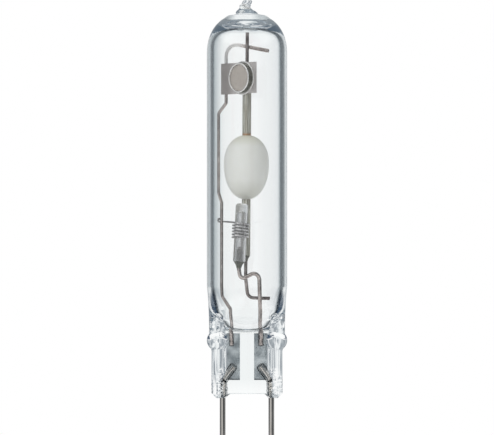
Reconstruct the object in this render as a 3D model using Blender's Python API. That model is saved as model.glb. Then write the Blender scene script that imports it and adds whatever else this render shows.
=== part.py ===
"""Metal halide lamp: a ceramic burner on bent wire leads, sealed in a quartz bulb with a two-pin end.

+Z runs up the lamp to its sealed tip, X runs through both contact pins and -Y is the front. The origin
is the middle of the flat end face between the pins, where the lamp seats in its holder. The glass is
pressed flat round two foils at the bottom, so each lead reaches its pin through a gas-tight seal.
"""

import math

import bmesh
import bpy
from mathutils import Matrix, Vector

mm = 0.001

# Clearances: the real pieces are welded, pressed or fused together here
weld_gap = 0.05 * mm
seal_gap = 0.05 * mm

# Quartz bulb: a round tube, domed and tipped off above and pressed flat below
bulb_radius = 7.0 * mm
bulb_wall = 1.0 * mm
neck_length = 7.6 * mm
shoulder_above_getter = 1.5 * mm
dome_rise = 7.3 * mm
dome_fullness = 2.3
dome_glass = 2.4 * mm
cavity_dome_rise = 5.0 * mm
cavity_dome_fullness = 3.2
tip_radius = 1.9 * mm
tip_length = 2.5 * mm
tip_waist = 0.5
tip_lobe = 0.13
tip_twist = math.radians(230)
tip_lean = 0.16 * mm

# Pinch: two thick rails beside a thin web, with a round boss on each shoulder
rail_outside_pin = 1.93 * mm
pinch_shoulder_swell = 0.42 * mm
pinch_shoulder_length = 3.0 * mm
rail_half_thickness = 2.2 * mm
rail_corner = 0.8 * mm
rail_drop = 0.65 * mm
rail_chamfer = 0.85 * mm
web_half_thickness = 1.25 * mm
boss_radius = 1.8 * mm
boss_half_depth = 2.5 * mm
boss_below_shoulder = 1.1 * mm
boss_proud = 0.4 * mm
boss_dimple_radius = 0.45 * mm
boss_dimple_depth = 0.25 * mm
cavity_floor_glass = 0.6 * mm
cavity_floor_half_width = 2.2 * mm
cavity_floor_half_thickness = 0.35 * mm

# Contact pins and sealing foils
pin_spacing = 8.5 * mm
pin_diameter = 1.0 * mm
pin_reach = 12.3 * mm
pin_tip_chamfer = 0.25 * mm
pin_bend_height = 2.2 * mm
pin_bend_radius = 0.6 * mm
pin_top_height = 4.8 * mm
pin_toe_in = 0.1 * mm
pin_channel_gap = 0.22 * mm
pin_glass_side = 0.55 * mm
web_slope = 0.3 * mm
foil_width = 2.35 * mm
foil_thickness = 0.1 * mm
foil_edge = 0.04 * mm
foil_taper = 0.4 * mm
foil_bottom = 2.35 * mm
foil_length = 8.35 * mm
foil_offset = 2.41 * mm
foil_in_shoulder = 0.3 * mm
lead_on_foil = 2.3 * mm

# Ceramic burner, measured along its own axis from the centre of its light
light_centre = 39.5 * mm
burner_lean = math.radians(0.39)
burner_shift = -0.1 * mm
burner_radius = 3.91 * mm
burner_wall = 0.6 * mm
burner_belly = 0.6 * mm
burner_upper_rise = 4.9 * mm
burner_lower_rise = 6.2 * mm
burner_fullness = 2.15
burner_fillet = 2.4
capillary_radius = 0.765 * mm
capillary_bore = 0.37 * mm
capillary_reach = 15.4 * mm
electrode_gap = 5.0 * mm
electrode_diameter = 0.3 * mm
electrode_coil_wire = 0.14 * mm
electrode_coil_turns = 4
electrode_coil_back = 0.15 * mm
electrode_length = 3.2 * mm
electrode_lead_diameter = 0.6 * mm
feedthrough_diameter = 0.6 * mm
feedthrough_in_capillary = 3.0 * mm
feedthrough_in_tip = 0.7 * mm
frit_length = 1.0 * mm
frit_collar = 0.06 * mm
mercury_radius = 0.3 * mm
salt_radius = 0.42 * mm
salt_flatness = 0.5

# Frame wire: the long lead, up the side of the bulb and over behind the burner's upper wire
frame_diameter = 0.6 * mm
frame_depth = 1.8 * mm
frame_run_inset = 1.43 * mm
frame_bow_inset = 0.83 * mm
frame_top_inset = 2.28 * mm
frame_foil_side = 0.26 * mm
frame_entry_side = 0.53 * mm
frame_entry_rise = 3.5 * mm
frame_run_rise = 5.5 * mm
frame_bow_below_light = 5.3 * mm
frame_bow_above_light = 10.3 * mm
frame_jog = 1.8 * mm
frame_headroom = 2.35 * mm
frame_arch_radius = 1.95 * mm
frame_arch_drop = 0.2
frame_arch_reach = 3.8 * mm
frame_bend_radius = 0.7 * mm

# Stem wire: the short lead, welded to the burner's lower wire and ending in the igniter tube
stem_diameter = 0.7 * mm
stem_x = 2.1 * mm
stem_rise = 1.0 * mm
stem_bend_below_igniter = 1.6 * mm
stem_bend_depth = -0.3 * mm
stem_bend_radius = 1.2 * mm
stem_hook_below_igniter = 3.2 * mm
stem_hook_radius = 1.15 * mm
stem_hook_side = 0.3 * mm
stem_in_igniter = 2.6 * mm
stem_straight_end = 0.1 * mm
tail_below_igniter = 6.35 * mm
tail_bend_radius = 1.1 * mm
tail_overhang = 2.0 * mm
tail_slope = 0.2 * mm
tail_knee_below_igniter = 3.1 * mm
tail_lean = 0.4 * mm

# Igniter: a closed ceramic tube beside the lower capillary, with its own wire coil
igniter_radius = 1.05 * mm
igniter_bore = 0.55 * mm
igniter_below_burner = 0.75 * mm
igniter_below_capillary = 1.0 * mm
igniter_end_wall = 1.4 * mm
igniter_corner = 0.5 * mm
igniter_side = -1.33 * mm
igniter_clearance = 0.03 * mm
igniter_lean = math.radians(2.8)
igniter_frit_length = 1.2 * mm
igniter_frit_in_bore = 2.2 * mm
igniter_frit_foot = 0.04 * mm
coil_wire = 0.36 * mm
coil_slack = 0.1 * mm
coil_turns = 5
coil_pitch = 0.52 * mm
coil_bottom = 4.1 * mm
hook_width = 0.75 * mm
hook_rise = 0.5 * mm
hook_drop = 0.1 * mm
hook_forward = 0.35 * mm

# Getter: a cup of powder on a strip that is welded to the frame wire
getter_turn = math.radians(48)
strip_wall_gap = 1.5 * mm
strip_width = 5.4 * mm
strip_thickness = 0.15 * mm
strip_overhang = 0.65 * mm
strip_flap = 1.9 * mm
strip_flap_turn = math.radians(7)
cup_radius = 2.7 * mm
cup_depth = 1.1 * mm
cup_wall = 0.16 * mm
cup_lip = 0.38 * mm
cup_inset = 3.25 * mm
cup_taper = 0.12 * mm
cup_flange = 0.22 * mm
cup_flange_thickness = 0.15 * mm
powder_depth = 0.8 * mm
powder_hollow = 0.6

# Smoothness: facets round a turned piece, and points round a bend or a turn of a coil
tube_facets = 28
thin_facets = 16
bend_steps = 4
coil_steps = 12
tip_steps = 10

# Places that follow from the sizes above
pin_x = pin_spacing / 2
pinch_half_width = pin_x + rail_outside_pin
pinch_shoulder_half_width = pinch_half_width + pinch_shoulder_swell
foil_top = foil_bottom + foil_length
foil_y = pin_diameter / 2 + weld_gap + foil_thickness / 2
lead_bottom = foil_top - lead_on_foil
pinch_height = foil_top - foil_in_shoulder
cavity_floor = foil_top + cavity_floor_glass
neck_height = cavity_floor + neck_length
cavity_radius = bulb_radius - bulb_wall
getter_height = light_centre + capillary_reach
shoulder_height = getter_height + strip_width / 2 + shoulder_above_getter
cavity_top = shoulder_height + dome_rise - dome_glass
strip_length = 2 * (cavity_radius - strip_wall_gap)
igniter_bottom = light_centre - capillary_reach - igniter_below_capillary
igniter_length = light_centre + burner_belly - burner_lower_rise - igniter_below_burner - igniter_bottom
igniter_depth = -(igniter_radius + coil_slack + coil_wire + capillary_radius + igniter_clearance)
stem_bend_height = igniter_bottom - stem_bend_below_igniter
stem_hook_height = igniter_bottom - stem_hook_below_igniter
tail_height = igniter_bottom - tail_below_igniter
up = Vector((0, 0, 1))

burner_axis = Matrix.Translation((burner_shift, 0, light_centre)) @ Matrix.Rotation(burner_lean, 4, "Y")
igniter_axis = (Matrix.Translation((igniter_side, igniter_depth, igniter_bottom))
                @ Matrix.Rotation(igniter_lean, 4, "Y"))


def clear_scene():
    for thing in list(bpy.data.objects):
        bpy.data.objects.remove(thing, do_unlink=True)


def finish(name, colour, roughness, metallic=0.0, transmission=0.0):
    """One surface finish as a Principled material; the colour is linear red, green and blue."""
    material = bpy.data.materials.new(name)
    material.use_nodes = True
    shader = material.node_tree.nodes["Principled BSDF"]
    shader.inputs["Base Color"].default_value = (*colour, 1.0)
    shader.inputs["Roughness"].default_value = roughness
    shader.inputs["Metallic"].default_value = metallic
    shader.inputs["Transmission Weight"].default_value = transmission
    material.diffuse_color = (*colour, 1.0)
    return material


def add_object(name, data, material, frame=None):
    thing = bpy.data.objects.new(name, data)
    if material:
        data.materials.append(material)
    bpy.context.collection.objects.link(thing)
    if frame:
        thing.parent = frame
    return thing


def add_mesh(name, bm, material, frame=None):
    """Close a bmesh into a named object with its faces pointing out and its round sides smooth."""
    bmesh.ops.remove_doubles(bm, verts=bm.verts, dist=0.0005 * mm)
    bmesh.ops.recalc_face_normals(bm, faces=bm.faces)
    mesh = bpy.data.meshes.new(name)
    bm.to_mesh(mesh)
    bm.free()
    mesh.shade_smooth()
    mesh.set_sharp_from_angle(angle=math.radians(40))
    return add_object(name, mesh, material, frame)


def add_frame(name, matrix):
    """An empty that carries the pieces built along one leaning axis."""
    empty = bpy.data.objects.new(name, None)
    bpy.context.collection.objects.link(empty)
    empty.matrix_world = matrix
    return empty


def modify(body, other, operation):
    """Cut a body with another solid or join it on; the other solid is only a tool."""
    other.hide_render = True
    other.display_type = "WIRE"
    change = body.modifiers.new(other.name, "BOOLEAN")
    change.operation = operation
    change.solver = "EXACT"
    change.object = other


def lofted(name, rings, material):
    """A skin over rings that all have the same number of points, closed flat at both ends."""
    bm = bmesh.new()
    loops = [[bm.verts.new(point) for point in ring] for ring in rings]
    for lower, upper in zip(loops, loops[1:]):
        for i, corner in enumerate(lower):
            j = (i + 1) % len(lower)
            bm.faces.new((corner, lower[j], upper[j], upper[i]))
    bm.faces.new(loops[0])
    bm.faces.new(loops[-1])
    return add_mesh(name, bm, material)


def turned(name, profile, material, frame=None, facets=tube_facets, closed=False):
    """Spin a profile of (radius, height) points round the axis; a closed one is a wall round a bore."""
    bm = bmesh.new()
    corners = [bm.verts.new((radius, 0, height)) for radius, height in profile]
    ends = corners[1:] + (corners[:1] if closed else [])
    edges = [bm.edges.new(pair) for pair in zip(corners, ends)]
    bmesh.ops.spin(bm, geom=corners + edges, cent=(0, 0, 0), axis=(0, 0, 1), angle=math.tau,
                   steps=facets, use_merge=True)
    return add_mesh(name, bm, material, frame)


def extruded(name, outline, bottom, top, material, frame=None):
    """Push a flat outline of (x, y) points up from one height to another."""
    bm = bmesh.new()
    face = bm.faces.new([bm.verts.new((x, y, bottom)) for x, y in outline])
    grown = bmesh.ops.extrude_face_region(bm, geom=[face])
    risen = [item for item in grown["geom"] if isinstance(item, bmesh.types.BMVert)]
    bmesh.ops.translate(bm, verts=risen, vec=(0, 0, top - bottom))
    return add_mesh(name, bm, material, frame)


def block(name, low, high, material=None):
    outline = [(low[0], low[1]), (high[0], low[1]), (high[0], high[1]), (low[0], high[1])]
    return extruded(name, outline, low[2], high[2], material)


def wire(name, path, diameter, material, roundness=2, frame=None, end_scale=1.0):
    """A round wire along a path; end_scale narrows its first point to a chamfered tip."""
    curve = bpy.data.curves.new(name, "CURVE")
    curve.dimensions = "3D"
    curve.bevel_depth = diameter / 2
    curve.bevel_resolution = roundness
    curve.use_fill_caps = True
    spline = curve.splines.new("POLY")
    spline.points.add(len(path) - 1)
    for point, place in zip(spline.points, path):
        point.co = (*place, 1)
    spline.points[0].radius = end_scale
    return add_object(name, curve, material, frame)


def wire_tool(name, path, diameter, roundness=2):
    """A solid the shape of a wire, as a mesh, for cutting the room that the wire needs."""
    shape = wire(name, path, diameter, None, roundness)
    bm = bmesh.new()
    bm.from_mesh(bpy.data.meshes.new_from_object(shape))
    bpy.data.objects.remove(shape)
    return add_mesh(name, bm, None)


def bent(corners, radii):
    """The path of a wire bent at each inner corner, with an arc of that corner's radius."""
    path = [Vector(corners[0])]
    for before, corner, after, radius in zip(corners, corners[1:], corners[2:], radii):
        corner = Vector(corner)
        back, ahead = Vector(before) - corner, Vector(after) - corner
        half_turn = (math.pi - back.angle(ahead)) / 2
        reach = min(radius * math.tan(half_turn), 0.48 * back.length, 0.48 * ahead.length)
        start, end = corner + back.normalized() * reach, corner + ahead.normalized() * reach
        inward = (start + end) / 2 - corner
        centre = corner + inward.normalized() * (reach / math.sin(half_turn))
        arm = start - centre
        turn = arm.rotation_difference(end - centre)
        for step in range(bend_steps + 1):
            partial = turn.copy()
            partial.angle = turn.angle * step / bend_steps
            path.append(centre + partial @ arm)
    path.append(Vector(corners[-1]))
    return path


def on_burner(height, radius=0.0):
    return burner_axis @ Vector((radius, 0, height))


def on_igniter(height, radius=0.0, angle=0.0):
    return igniter_axis @ Vector((-radius * math.cos(angle), -radius * math.sin(angle), height))


def oval(half_width, half_thickness, height, count):
    """A ring of points round an ellipse, from its +X end."""
    turns = [math.tau * i / count for i in range(count)]
    return [Vector((half_width * math.cos(t), half_thickness * math.sin(t), height)) for t in turns]


def pinch_ring(half_width, rail, web, height):
    """A ring round the pinch: two rails with round outer corners, sloping in to the web."""
    corner_x, corner_y = half_width - rail_corner, rail - rail_corner
    rail_edge, web_edge = pin_x + pin_glass_side + web_slope / 2, pin_x - pin_glass_side
    quarter = [(half_width, 0), (half_width, corner_y / 2)]
    for step in range(4):
        turn = math.radians(30 * step)
        quarter.append((corner_x + rail_corner * math.cos(turn), corner_y + rail_corner * math.sin(turn)))
    quarter += [(rail_edge, rail), ((rail_edge + web_edge) / 2, (rail + web) / 2), (web_edge, web)]
    quarter += [(web_edge * 2 / 3, web), (web_edge / 3, web)]
    half = quarter + [(0, web)] + [(-x, y) for x, y in reversed(quarter)]
    ring = half + [(x, -y) for x, y in reversed(half[1:-1])]
    return [Vector((x, y, height)) for x, y in ring]


def bulb_rings():
    """The glass from the end of its rails, through the press's shoulder, to the tipped-off point."""
    rings = [
        pinch_ring(pinch_half_width, rail_half_thickness, web_half_thickness, -rail_drop),
        pinch_ring(pinch_half_width, rail_half_thickness, web_half_thickness,
                   pinch_height - pinch_shoulder_length),
        pinch_ring(pinch_shoulder_half_width, rail_half_thickness, web_half_thickness, pinch_height),
    ]
    count = len(rings[0])
    for part in (0.07, 0.16, 0.27, 0.4, 0.55, 0.72, 0.87, 1.0):
        height = pinch_height + part * (neck_height - pinch_height)
        swell = math.sin(part * math.pi / 2) ** 1.3
        half_thickness = rail_half_thickness + (bulb_radius - rail_half_thickness) * swell
        half_width = pinch_shoulder_half_width + (bulb_radius - pinch_shoulder_half_width) * part ** 2
        rounding = min(1.0, part / 0.5)
        hollow = (rail_half_thickness - web_half_thickness) * (1 - rounding)
        flat = pinch_ring(half_width, half_thickness, half_thickness - hollow, height)
        full = oval(half_width, half_thickness, height, count)
        rings.append([a.lerp(b, rounding) for a, b in zip(flat, full)])
    last_turn = math.acos((tip_radius / bulb_radius) ** (dome_fullness / 2))
    for step in range(8):
        turn = last_turn * step / 7
        radius = bulb_radius * math.cos(turn) ** (2 / dome_fullness)
        height = shoulder_height + dome_rise * math.sin(turn) ** (2 / dome_fullness)
        rings.append(oval(radius, radius, height, count))
    return rings + tip_rings(height, count)


def tip_rings(base, count):
    """The nib left where the tube was melted off: it narrows to a waist, twists and closes round."""
    rings = []
    for step in range(1, tip_steps + 1):
        part = 1 - 0.97 * (1 - step / tip_steps) ** 1.2 - 0.03
        share = tip_waist + (1 - tip_waist) * math.cos(part * math.pi / 2) ** 2
        share *= math.sqrt(1 - part ** 8)
        lean = tip_lean * math.sin(part * math.tau)
        ring = []
        for i in range(count):
            turn = math.tau * i / count
            lobe = 1 + tip_lobe * math.sin(part * math.pi) * math.cos(2 * (turn - part * tip_twist))
            radius = tip_radius * share * lobe
            ring.append(Vector((radius * math.cos(turn) + lean, radius * math.sin(turn),
                                base + part * tip_length)))
        rings.append(ring)
    return rings


def cavity_rings(count=36):
    """The hollow of the bulb, from its narrow floor over the pinch to its flat-topped dome."""
    rings = []
    for part in (0.0, 0.06, 0.14, 0.25, 0.4, 0.6, 0.8, 1.0):
        swell = math.sin(part * math.pi / 2)
        half_thickness = cavity_floor_half_thickness + (cavity_radius - cavity_floor_half_thickness) * swell
        half_width = cavity_floor_half_width + (cavity_radius - cavity_floor_half_width) * swell ** 0.42
        rings.append(oval(half_width, half_thickness, cavity_floor + part * (neck_height - cavity_floor),
                          count))
    for step in range(7):
        turn = math.radians(86) * step / 6
        radius = cavity_radius * math.cos(turn) ** (2 / cavity_dome_fullness)
        rise = cavity_dome_rise * math.sin(turn) ** (2 / cavity_dome_fullness)
        rings.append(oval(radius, radius, cavity_top - cavity_dome_rise + rise, count))
    return rings


def frame_path():
    """The frame wire from its foil, out to the wall, past the burner and over the top."""
    run_x, bow_x, top_x = (inset - cavity_radius for inset in (frame_run_inset, frame_bow_inset,
                                                               frame_top_inset))
    lead_y = foil_y - foil_thickness / 2 - weld_gap - frame_diameter / 2
    behind = (feedthrough_diameter + frame_diameter) / 2 + weld_gap
    crossing_x = on_burner(cavity_top - light_centre - frame_headroom).x
    arch_z = cavity_top - frame_headroom
    slant = (behind - frame_depth) / (crossing_x - top_x)
    half_jog = frame_jog / 2
    corners = [
        (-foil_offset - frame_foil_side, lead_y, lead_bottom),
        (-foil_offset - frame_entry_side, lead_y, cavity_floor + frame_entry_rise),
        (run_x, frame_depth, cavity_floor + frame_run_rise),
        (run_x, frame_depth, light_centre - frame_bow_below_light - half_jog),
        (bow_x, frame_depth, light_centre - frame_bow_below_light + half_jog),
        (bow_x, frame_depth, light_centre + frame_bow_above_light - half_jog),
        (top_x, frame_depth, light_centre + frame_bow_above_light + half_jog),
        (top_x, frame_depth, arch_z),
        (frame_arch_reach, behind + slant * (frame_arch_reach - crossing_x),
         arch_z - frame_arch_drop * (frame_arch_reach - top_x)),
    ]
    return bent(corners, [frame_bend_radius] * 6 + [frame_arch_radius])


def stem_path():
    """The stem wire from its foil, across in front of the burner's lower wire and into the igniter."""
    lead_y = foil_y - foil_thickness / 2 - weld_gap - stem_diameter / 2
    corners = [
        (foil_offset, lead_y, lead_bottom),
        (foil_offset, lead_y, cavity_floor + stem_rise),
        (stem_x, stem_bend_depth, stem_bend_height),
        (on_igniter(-igniter_frit_length).x + stem_hook_side, igniter_depth, stem_hook_height),
        on_igniter(-igniter_frit_length - stem_straight_end),
        on_igniter(stem_in_igniter),
    ]
    return bent(corners, [frame_bend_radius, stem_bend_radius, stem_hook_radius, stem_hook_radius])


def stem_depth_at(height):
    """How far back the stem wire stands at a height on its rising run."""
    lead_y = foil_y - foil_thickness / 2 - weld_gap - stem_diameter / 2
    share = (height - cavity_floor) / (stem_bend_height - cavity_floor)
    return lead_y + (stem_bend_depth - lead_y) * share


def lower_wire_path():
    """The burner's lower wire: down from the capillary, then out behind the stem wire it is welded to."""
    tail_y = stem_depth_at(tail_height) + (stem_diameter + feedthrough_diameter) / 2 + weld_gap
    start = on_burner(-capillary_reach + feedthrough_in_capillary)
    knee = on_burner(igniter_bottom - tail_knee_below_igniter - light_centre)
    corners = [
        start,
        knee,
        (knee.x + tail_lean, tail_y, tail_height),
        (stem_x + tail_overhang, tail_y, tail_height - tail_slope),
    ]
    return bent(corners, [tail_bend_radius, tail_bend_radius])


def coil_path():
    """The igniter's coil: five turns down the ceramic tube, led in from a hook behind the frame wire."""
    radius = igniter_radius + coil_slack + coil_wire / 2
    top = coil_bottom + coil_turns * coil_pitch
    run_x = frame_run_inset - cavity_radius
    behind = frame_depth + (frame_diameter + coil_wire) / 2 + weld_gap
    hook_z = on_igniter(top, radius).z + hook_drop
    hook_x = run_x - hook_width
    corners = [
        (run_x - coil_wire / 2, behind, hook_z + hook_rise),
        (hook_x, behind - hook_forward, hook_z + hook_rise),
        (hook_x, behind - hook_forward, hook_z),
        (run_x + frame_diameter, behind, hook_z),
        on_igniter(top, radius, 0.0) + Vector((0, coil_wire, 0)),
    ]
    path = bent(corners, [hook_rise / 2, hook_rise / 2, coil_wire])
    for step in range(coil_turns * coil_steps + 1):
        turn = math.tau * step / coil_steps
        path.append(on_igniter(top - coil_pitch * step / coil_steps, radius, turn))
    return path


def burner_profile(shrink, bore):
    """Half the burner's outline, bottom to top, drawn in by a wall and opening into its bore."""
    profile = []
    rises = ((-1, burner_lower_rise), (1, burner_upper_rise))
    for side, rise in rises:
        steps = range(8, 0, -1) if side < 0 else range(0, 9)
        for step in steps:
            turn = math.pi / 2 * step / 8
            body = (burner_radius - shrink) * abs(math.cos(turn)) ** (2 / burner_fullness)
            radius = (body ** burner_fillet + bore ** burner_fillet) ** (1 / burner_fillet)
            height = (rise - shrink) * math.sin(turn) ** (2 / burner_fullness)
            profile.append((radius, burner_belly + side * height))
    return profile


def burner_wall_point(turn, stand_off):
    """A place inside the burner's lower bowl, a distance in from its wall: (radius, height)."""
    across, along = burner_radius - burner_wall, burner_lower_rise - burner_wall
    wall = Vector((across * math.cos(turn), burner_belly - along * math.sin(turn)))
    inward = Vector((-math.cos(turn) / across, math.sin(turn) / along)).normalized()
    return wall + inward * stand_off, inward


def add_bulb(quartz):
    bulb = lofted("outer_bulb", bulb_rings(), quartz)
    modify(bulb, lofted("cavity_cutter", cavity_rings(), None), "DIFFERENCE")
    far = 2 * bulb_radius
    web_edge = pin_x - pin_glass_side - web_slope
    modify(bulb, block("web_end_cutter", (-web_edge, -far, -far), (web_edge, far, 0)), "DIFFERENCE")
    for side, word in ((-1, "left"), (1, "right")):
        boss = bmesh.new()
        bmesh.ops.create_uvsphere(boss, u_segments=20, v_segments=12, radius=boss_radius)
        bmesh.ops.scale(boss, verts=boss.verts, vec=(1, boss_half_depth / boss_radius, 1))
        boss_x = side * (pinch_shoulder_half_width + boss_proud - boss_radius)
        bmesh.ops.translate(boss, verts=boss.verts, vec=(boss_x, 0, pinch_height - boss_below_shoulder))
        modify(bulb, add_mesh(f"{word}_boss", boss, None), "UNION")
        dimple = bmesh.new()
        bmesh.ops.create_uvsphere(dimple, u_segments=12, v_segments=8, radius=boss_dimple_radius)
        dimple_y = -boss_half_depth - boss_dimple_radius + boss_dimple_depth
        bmesh.ops.translate(dimple, verts=dimple.verts,
                            vec=(boss_x, dimple_y, pinch_height - boss_below_shoulder))
        modify(bulb, add_mesh(f"{word}_boss_dimple_cutter", dimple, None), "DIFFERENCE")
        end, inner = pinch_half_width + far, pinch_half_width - rail_chamfer
        outline = [(inner, -rail_drop), (pinch_half_width, rail_chamfer - rail_drop),
                   (end, end - pinch_half_width + rail_chamfer - rail_drop), (end, -far),
                   (inner - far, -far)]
        corner = bmesh.new()
        face = corner.faces.new([corner.verts.new((side * x, -far, z)) for x, z in outline])
        grown = bmesh.ops.extrude_face_region(corner, geom=[face])
        moved = [item for item in grown["geom"] if isinstance(item, bmesh.types.BMVert)]
        bmesh.ops.translate(corner, verts=moved, vec=(0, 2 * far, 0))
        modify(bulb, add_mesh(f"{word}_corner_cutter", corner, None), "DIFFERENCE")
    return bulb


def pin_path(side, spare=0.0):
    """A contact pin from its free end to where it lies on its foil; spare lengthens both ends."""
    corners = [
        (side * pin_x, 0, -pin_reach - spare),
        (side * pin_x, 0, pin_bend_height),
        (side * (foil_offset - pin_toe_in), 0, pin_top_height),
    ]
    path = bent(corners, [pin_bend_radius])
    path[-1] += (path[-1] - path[-2]).normalized() * spare
    return path


def foil_outline(side, gap):
    """A foil's section: flat, with both edges etched thin; gap grows it on every side."""
    half, half_edge = foil_width / 2 + gap, foil_edge / 2 + gap
    flat, thick = foil_width / 2 - foil_taper, foil_thickness / 2 + gap
    quarter = [(half, half_edge), (flat, thick)]
    top = quarter + [(-x, y) for x, y in reversed(quarter)]
    ring = top + [(x, -y) for x, y in reversed(top)]
    return [(side * foil_offset + x, foil_y + y) for x, y in ring]


def add_seals(bulb, pin_metal, foil_metal, leads):
    """The pins and foils, and the channels that they and the two leads fill in the pressed glass."""
    for side, word in ((-1, "left"), (1, "right")):
        path = pin_path(side)
        chamfered = [path[0], path[0] + up * pin_tip_chamfer] + path[1:]
        tip_scale = 1 - 2 * pin_tip_chamfer / pin_diameter
        wire(f"{word}_contact_pin", chamfered, pin_diameter, pin_metal, 4, end_scale=tip_scale)
        extruded(f"{word}_sealing_foil", foil_outline(side, 0), foil_bottom, foil_top, foil_metal)
        pin_room = wire_tool(f"{word}_pin_cutter", pin_path(side, pin_channel_gap),
                             pin_diameter + 2 * pin_channel_gap, 4)
        foil_room = extruded(f"{word}_foil_cutter", foil_outline(side, seal_gap), foil_bottom - seal_gap,
                             foil_top + seal_gap, None)
        path, diameter = leads[word]
        start = path[0] + (path[0] - path[1]).normalized() * seal_gap
        room = [start] + [point for point in path[1:] if point.z < neck_height]
        lead_room = wire_tool(f"{word}_lead_cutter", room, diameter + 2 * seal_gap)
        for tool in (pin_room, foil_room, lead_room):
            modify(bulb, tool, "DIFFERENCE")


def add_burner(ceramic, tungsten, niobium, molybdenum, frit, mercury, salt):
    frame = add_frame("burner_axis", burner_axis)
    outer = burner_profile(0, capillary_radius)
    inner = burner_profile(burner_wall, capillary_bore)
    outline = [(capillary_radius, -capillary_reach)] + outer + [(capillary_radius, capillary_reach)]
    outline += [(capillary_bore, capillary_reach)] + inner[::-1] + [(capillary_bore, -capillary_reach)]
    turned("arc_tube", outline, ceramic, frame, closed=True)
    for side, word in ((-1, "lower"), (1, "upper")):
        tip = side * electrode_gap / 2
        lead_start = side * (electrode_gap / 2 + electrode_length)
        lead_end = side * (capillary_reach - feedthrough_in_capillary - weld_gap)
        rod = [Vector((0, 0, tip)), Vector((0, 0, lead_start - side * weld_gap))]
        wire(f"{word}_electrode", rod, electrode_diameter, tungsten, 1, frame)
        wire(f"{word}_electrode_lead", [Vector((0, 0, lead_start)), Vector((0, 0, lead_end))],
             electrode_lead_diameter, molybdenum, 2, frame)
        radius = (electrode_diameter + electrode_coil_wire) / 2 + weld_gap
        turns = []
        for step in range(electrode_coil_turns * coil_steps // 2 + 1):
            turn = math.tau * 2 * step / coil_steps
            climb = side * (electrode_coil_back + (electrode_coil_wire + weld_gap) * turn / math.tau)
            turns.append(Vector((radius * math.cos(turn), radius * math.sin(turn), tip + climb)))
        wire(f"{word}_electrode_coil", turns, electrode_coil_wire, tungsten, 0, frame)
        hole, end = feedthrough_diameter / 2 + seal_gap / 2, side * capillary_reach
        foot = hole + frit_collar / 2
        funnel = [(hole, end + side * weld_gap), (capillary_radius, end + side * weld_gap),
                  (capillary_radius * 0.8, end + side * 0.3 * frit_length),
                  (foot + frit_collar, end + side * 0.75 * frit_length),
                  (foot, end + side * frit_length), (hole, end + side * frit_length)]
        turned(f"{word}_frit_seal", funnel, frit, frame, thin_facets, closed=True)
    upper_wire = [on_burner(capillary_reach - feedthrough_in_capillary),
                  on_burner(cavity_top + feedthrough_in_tip - light_centre)]
    wire("upper_feedthrough", upper_wire, feedthrough_diameter, niobium)
    wire("lower_feedthrough", lower_wire_path(), feedthrough_diameter, niobium)
    beads = (("mercury_drop", mercury_radius, 1.0, mercury, 0.0, 1.1),
             ("halide_salt_pellet", salt_radius, salt_flatness, salt, math.pi, 1.1))
    for name, radius, flatness, material, around, turn in beads:
        place, inward = burner_wall_point(turn, radius * flatness + weld_gap)
        bead = bmesh.new()
        bmesh.ops.create_icosphere(bead, subdivisions=2, radius=radius)
        bmesh.ops.scale(bead, verts=bead.verts, vec=(1, 1, flatness))
        tilt = Matrix.Rotation(math.atan2(inward.x, inward.y), 4, "Y")
        where = Matrix.Rotation(around, 4, "Z") @ Matrix.Translation((place.x, 0, place.y)) @ tilt
        bmesh.ops.transform(bead, verts=bead.verts, matrix=where)
        add_mesh(name, bead, material, frame)
    return upper_wire


def add_igniter(ceramic, frit):
    frame = add_frame("igniter_axis", igniter_axis)
    bore_top = igniter_length - igniter_end_wall
    shell = [(0, igniter_length)]
    for step in range(5):
        turn = math.pi / 2 * (1 - step / 4)
        shell.append((igniter_radius - igniter_corner + igniter_corner * math.cos(turn),
                      igniter_length - igniter_corner + igniter_corner * math.sin(turn)))
    shell += [(igniter_radius, 0), (igniter_bore, 0), (igniter_bore, bore_top - igniter_bore / 2),
              (igniter_bore / 2, bore_top), (0, bore_top)]
    turned("igniter_tube", shell, ceramic, frame, 20)
    hole, sleeve = stem_diameter / 2 + seal_gap / 2, igniter_bore - seal_gap / 2
    foot = -igniter_frit_length
    seal = [(hole, igniter_frit_in_bore), (sleeve, igniter_frit_in_bore), (sleeve, -weld_gap),
            (igniter_radius * 0.93, -weld_gap), (igniter_radius * 0.75, 0.3 * foot),
            (hole + 2 * igniter_frit_foot, 0.8 * foot), (hole + igniter_frit_foot, foot), (hole, foot)]
    turned("igniter_frit_seal", seal, frit, frame, thin_facets, closed=True)


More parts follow.
